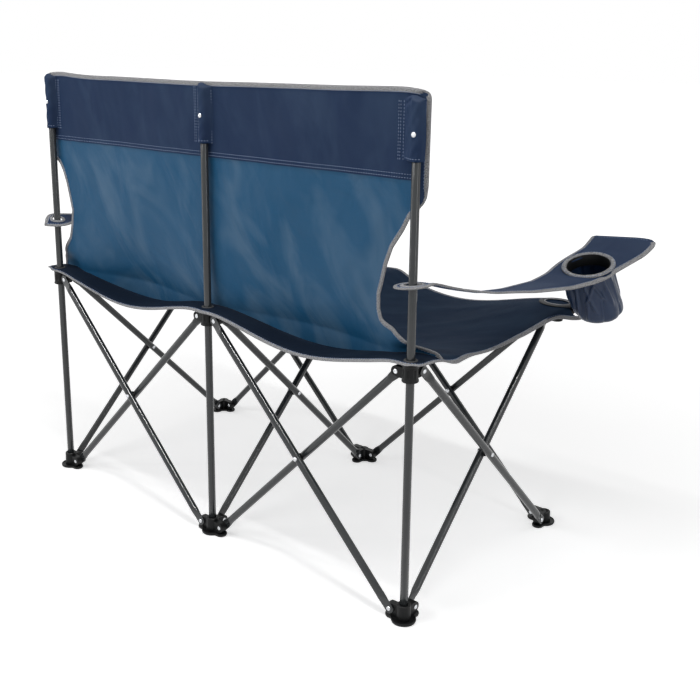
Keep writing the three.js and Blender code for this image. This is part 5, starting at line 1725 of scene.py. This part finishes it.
class LOVESEAT_OT_stage(bpy.types.Operator):
    """Sets the pale floor, the soft lamps and the photograph's camera"""

    bl_idname = "loveseat.stage"
    bl_label = "Floor, Light and Camera"

    def execute(self, context):
        settings = context.scene.loveseat_stage
        self.make_floor(settings)
        self.make_world(context.scene, settings)
        self.make_lamps(settings)
        self.make_camera(context.scene)
        context.scene.view_settings.view_transform = "Standard"
        return {"FINISHED"}

    @staticmethod
    def make_floor(settings):
        """A level sheet that glows pale for the camera and for gloss, and brighter away from the seat."""
        side = np.linspace(-settings.floor_size / 2, settings.floor_size / 2, 3)
        points = xyz(*np.meshgrid(side, side), 0.0)
        material, shader = new_material("Floor", {
            "Base Color": (*settings.floor, 1.0), "Roughness": 0.9, "Specular IOR Level": 0.0})
        tree = material.node_tree
        place = add_node(tree, "ShaderNodeTexCoord").outputs["Object"]
        away = add_node(tree, "ShaderNodeVectorMath", {0: place}, operation="LENGTH").outputs["Value"]
        level = ranged(tree, away, 1.0, 3.5, *FLOOR_GLOW)
        strength = math_node(tree, "MULTIPLY", seen_mask(tree), level)
        glow = add_node(tree, "ShaderNodeEmission", {"Color": (1, 1, 1, 1), "Strength": strength})
        both = add_node(tree, "ShaderNodeAddShader")
        tree.links.new(shader.outputs[0], both.inputs[0])
        tree.links.new(glow.outputs[0], both.inputs[1])
        tree.links.new(both.outputs[0], tree.nodes["Material Output"].inputs["Surface"])
        floor = make_piece("floor", [cloth(points, points[..., :2])], ())
        floor.data.materials.append(material)

    @staticmethod
    def make_world(scene, settings):
        """An even fill of light that the camera and gloss see as white."""
        world = bpy.data.worlds.new("Studio")
        world.use_nodes = True
        tree = world.node_tree
        light = tree.nodes["Background"]
        light.inputs["Color"].default_value = (1, 1, 1, 1)
        tree.links.new(ranged(tree, seen_mask(tree), to_low=settings.fill), light.inputs["Strength"])
        scene.world = world

    @staticmethod
    def make_lamps(settings):
        """Flat lamps turned to the seat. Only gloss sees the glint, a bright line along leaning tubes."""
        lamps = [("key", (1.4, 2.6, 2.4), (0.0, 0.0, 0.5), 2.2, 0.4, settings.key),
                 ("glint", (-0.75, 0.52, 2.72), (-0.75, 0.0, 0.3), 2.4, 0.12, settings.strip * 12),
                 ("top", (-0.9, 0.5, 2.7), (-0.9, 0.0, 0.3), 2.0, 0.10, settings.strip * 1.8),
                 ("strip_left", (2.6, 1.9, 1.4), (0.1, 0.0, 0.5), 0.12, 1.8, settings.strip),
                 ("strip_right", (-3.0, 0.2, 1.5), (-0.1, 0.0, 0.5), 0.12, 1.8, settings.strip)]
        for name, at, towards, width, height, power in lamps:
            data = bpy.data.lights.new(name, "AREA")
            data.shape = "RECTANGLE"
            data.size, data.size_y = width, height
            data.energy = power
            lamp = bpy.data.objects.new(name, data)
            lamp.visible_diffuse = name != "glint"
            lamp.location = at
            direction = Vector(towards) - Vector(at)
            lamp.rotation_euler = direction.to_track_quat("-Z", "Y").to_euler()
            bpy.context.scene.collection.objects.link(lamp)

    @staticmethod
    def make_camera(scene):
        """The camera that was fitted to the photograph."""
        yaw, pitch, roll = np.radians([CAMERA_YAW, CAMERA_PITCH, CAMERA_ROLL])
        ahead = np.array([np.sin(yaw) * np.cos(pitch), -np.cos(yaw) * np.cos(pitch), -np.sin(pitch)])
        level = unit(np.cross(ahead, UP))
        above = np.cross(level, ahead)
        right = level * np.cos(roll) + above * np.sin(roll)
        up = above * np.cos(roll) - level * np.sin(roll)
        data = bpy.data.cameras.new("photograph")
        data.sensor_width = SENSOR_WIDTH
        data.lens = PHOTO_FOCAL * SENSOR_WIDTH / PHOTO_SIZE
        data.shift_x = -PHOTO_CENTRE_SHIFT[0] / PHOTO_SIZE
        data.shift_y = PHOTO_CENTRE_SHIFT[1] / PHOTO_SIZE
        data.clip_end = 100
        camera = bpy.data.objects.new("photograph", data)
        eye = CAMERA_TARGET - CAMERA_OFFSET @ np.stack([right, up, ahead])
        matrix = np.eye(4)
        matrix[:3] = np.transpose([right, up, -ahead, eye])
        camera.matrix_world = Matrix(matrix.tolist())
        scene.collection.objects.link(camera)
        scene.camera = camera


class LOVESEAT_PT_pieces(bpy.types.Panel):
    """Lists the pieces of the loveseat"""

    bl_label = "Loveseat"
    bl_space_type = "VIEW_3D"
    bl_region_type = "UI"
    bl_category = "Loveseat"

    def draw(self, context):
        for group in SETTINGS:
            settings = getattr(context.scene, group)
            for name in settings.__annotations__:
                self.layout.prop(settings, name)
        for operator in OPERATORS:
            self.layout.operator(operator.bl_idname)


SETTINGS = {"loveseat_frame": LoveseatFrame, "loveseat_cloth": LoveseatCloth, "loveseat_stage": LoveseatStage}
OPERATORS = (
    LOVESEAT_OT_cross_tubes, LOVESEAT_OT_crossings, LOVESEAT_OT_posts, LOVESEAT_OT_feet, LOVESEAT_OT_hubs,
    LOVESEAT_OT_arm_posts, LOVESEAT_OT_seat, LOVESEAT_OT_backrest, LOVESEAT_OT_sleeves,
    LOVESEAT_OT_armrests, LOVESEAT_OT_cup_pouches, LOVESEAT_OT_stage,
)


def register():
    for cls in (*SETTINGS.values(), *OPERATORS, LOVESEAT_PT_pieces):
        bpy.utils.register_class(cls)
    for name, cls in SETTINGS.items():
        setattr(bpy.types.Scene, name, bpy.props.PointerProperty(type=cls))


def unregister():
    for name in SETTINGS:
        delattr(bpy.types.Scene, name)
    for cls in (LOVESEAT_PT_pieces, *reversed(OPERATORS), *reversed(SETTINGS.values())):
        bpy.utils.unregister_class(cls)


def main():
    register()
    for operator in OPERATORS:
        family, name = operator.bl_idname.split(".")
        getattr(getattr(bpy.ops, family), name)()


if __name__ == "__main__":
    main()
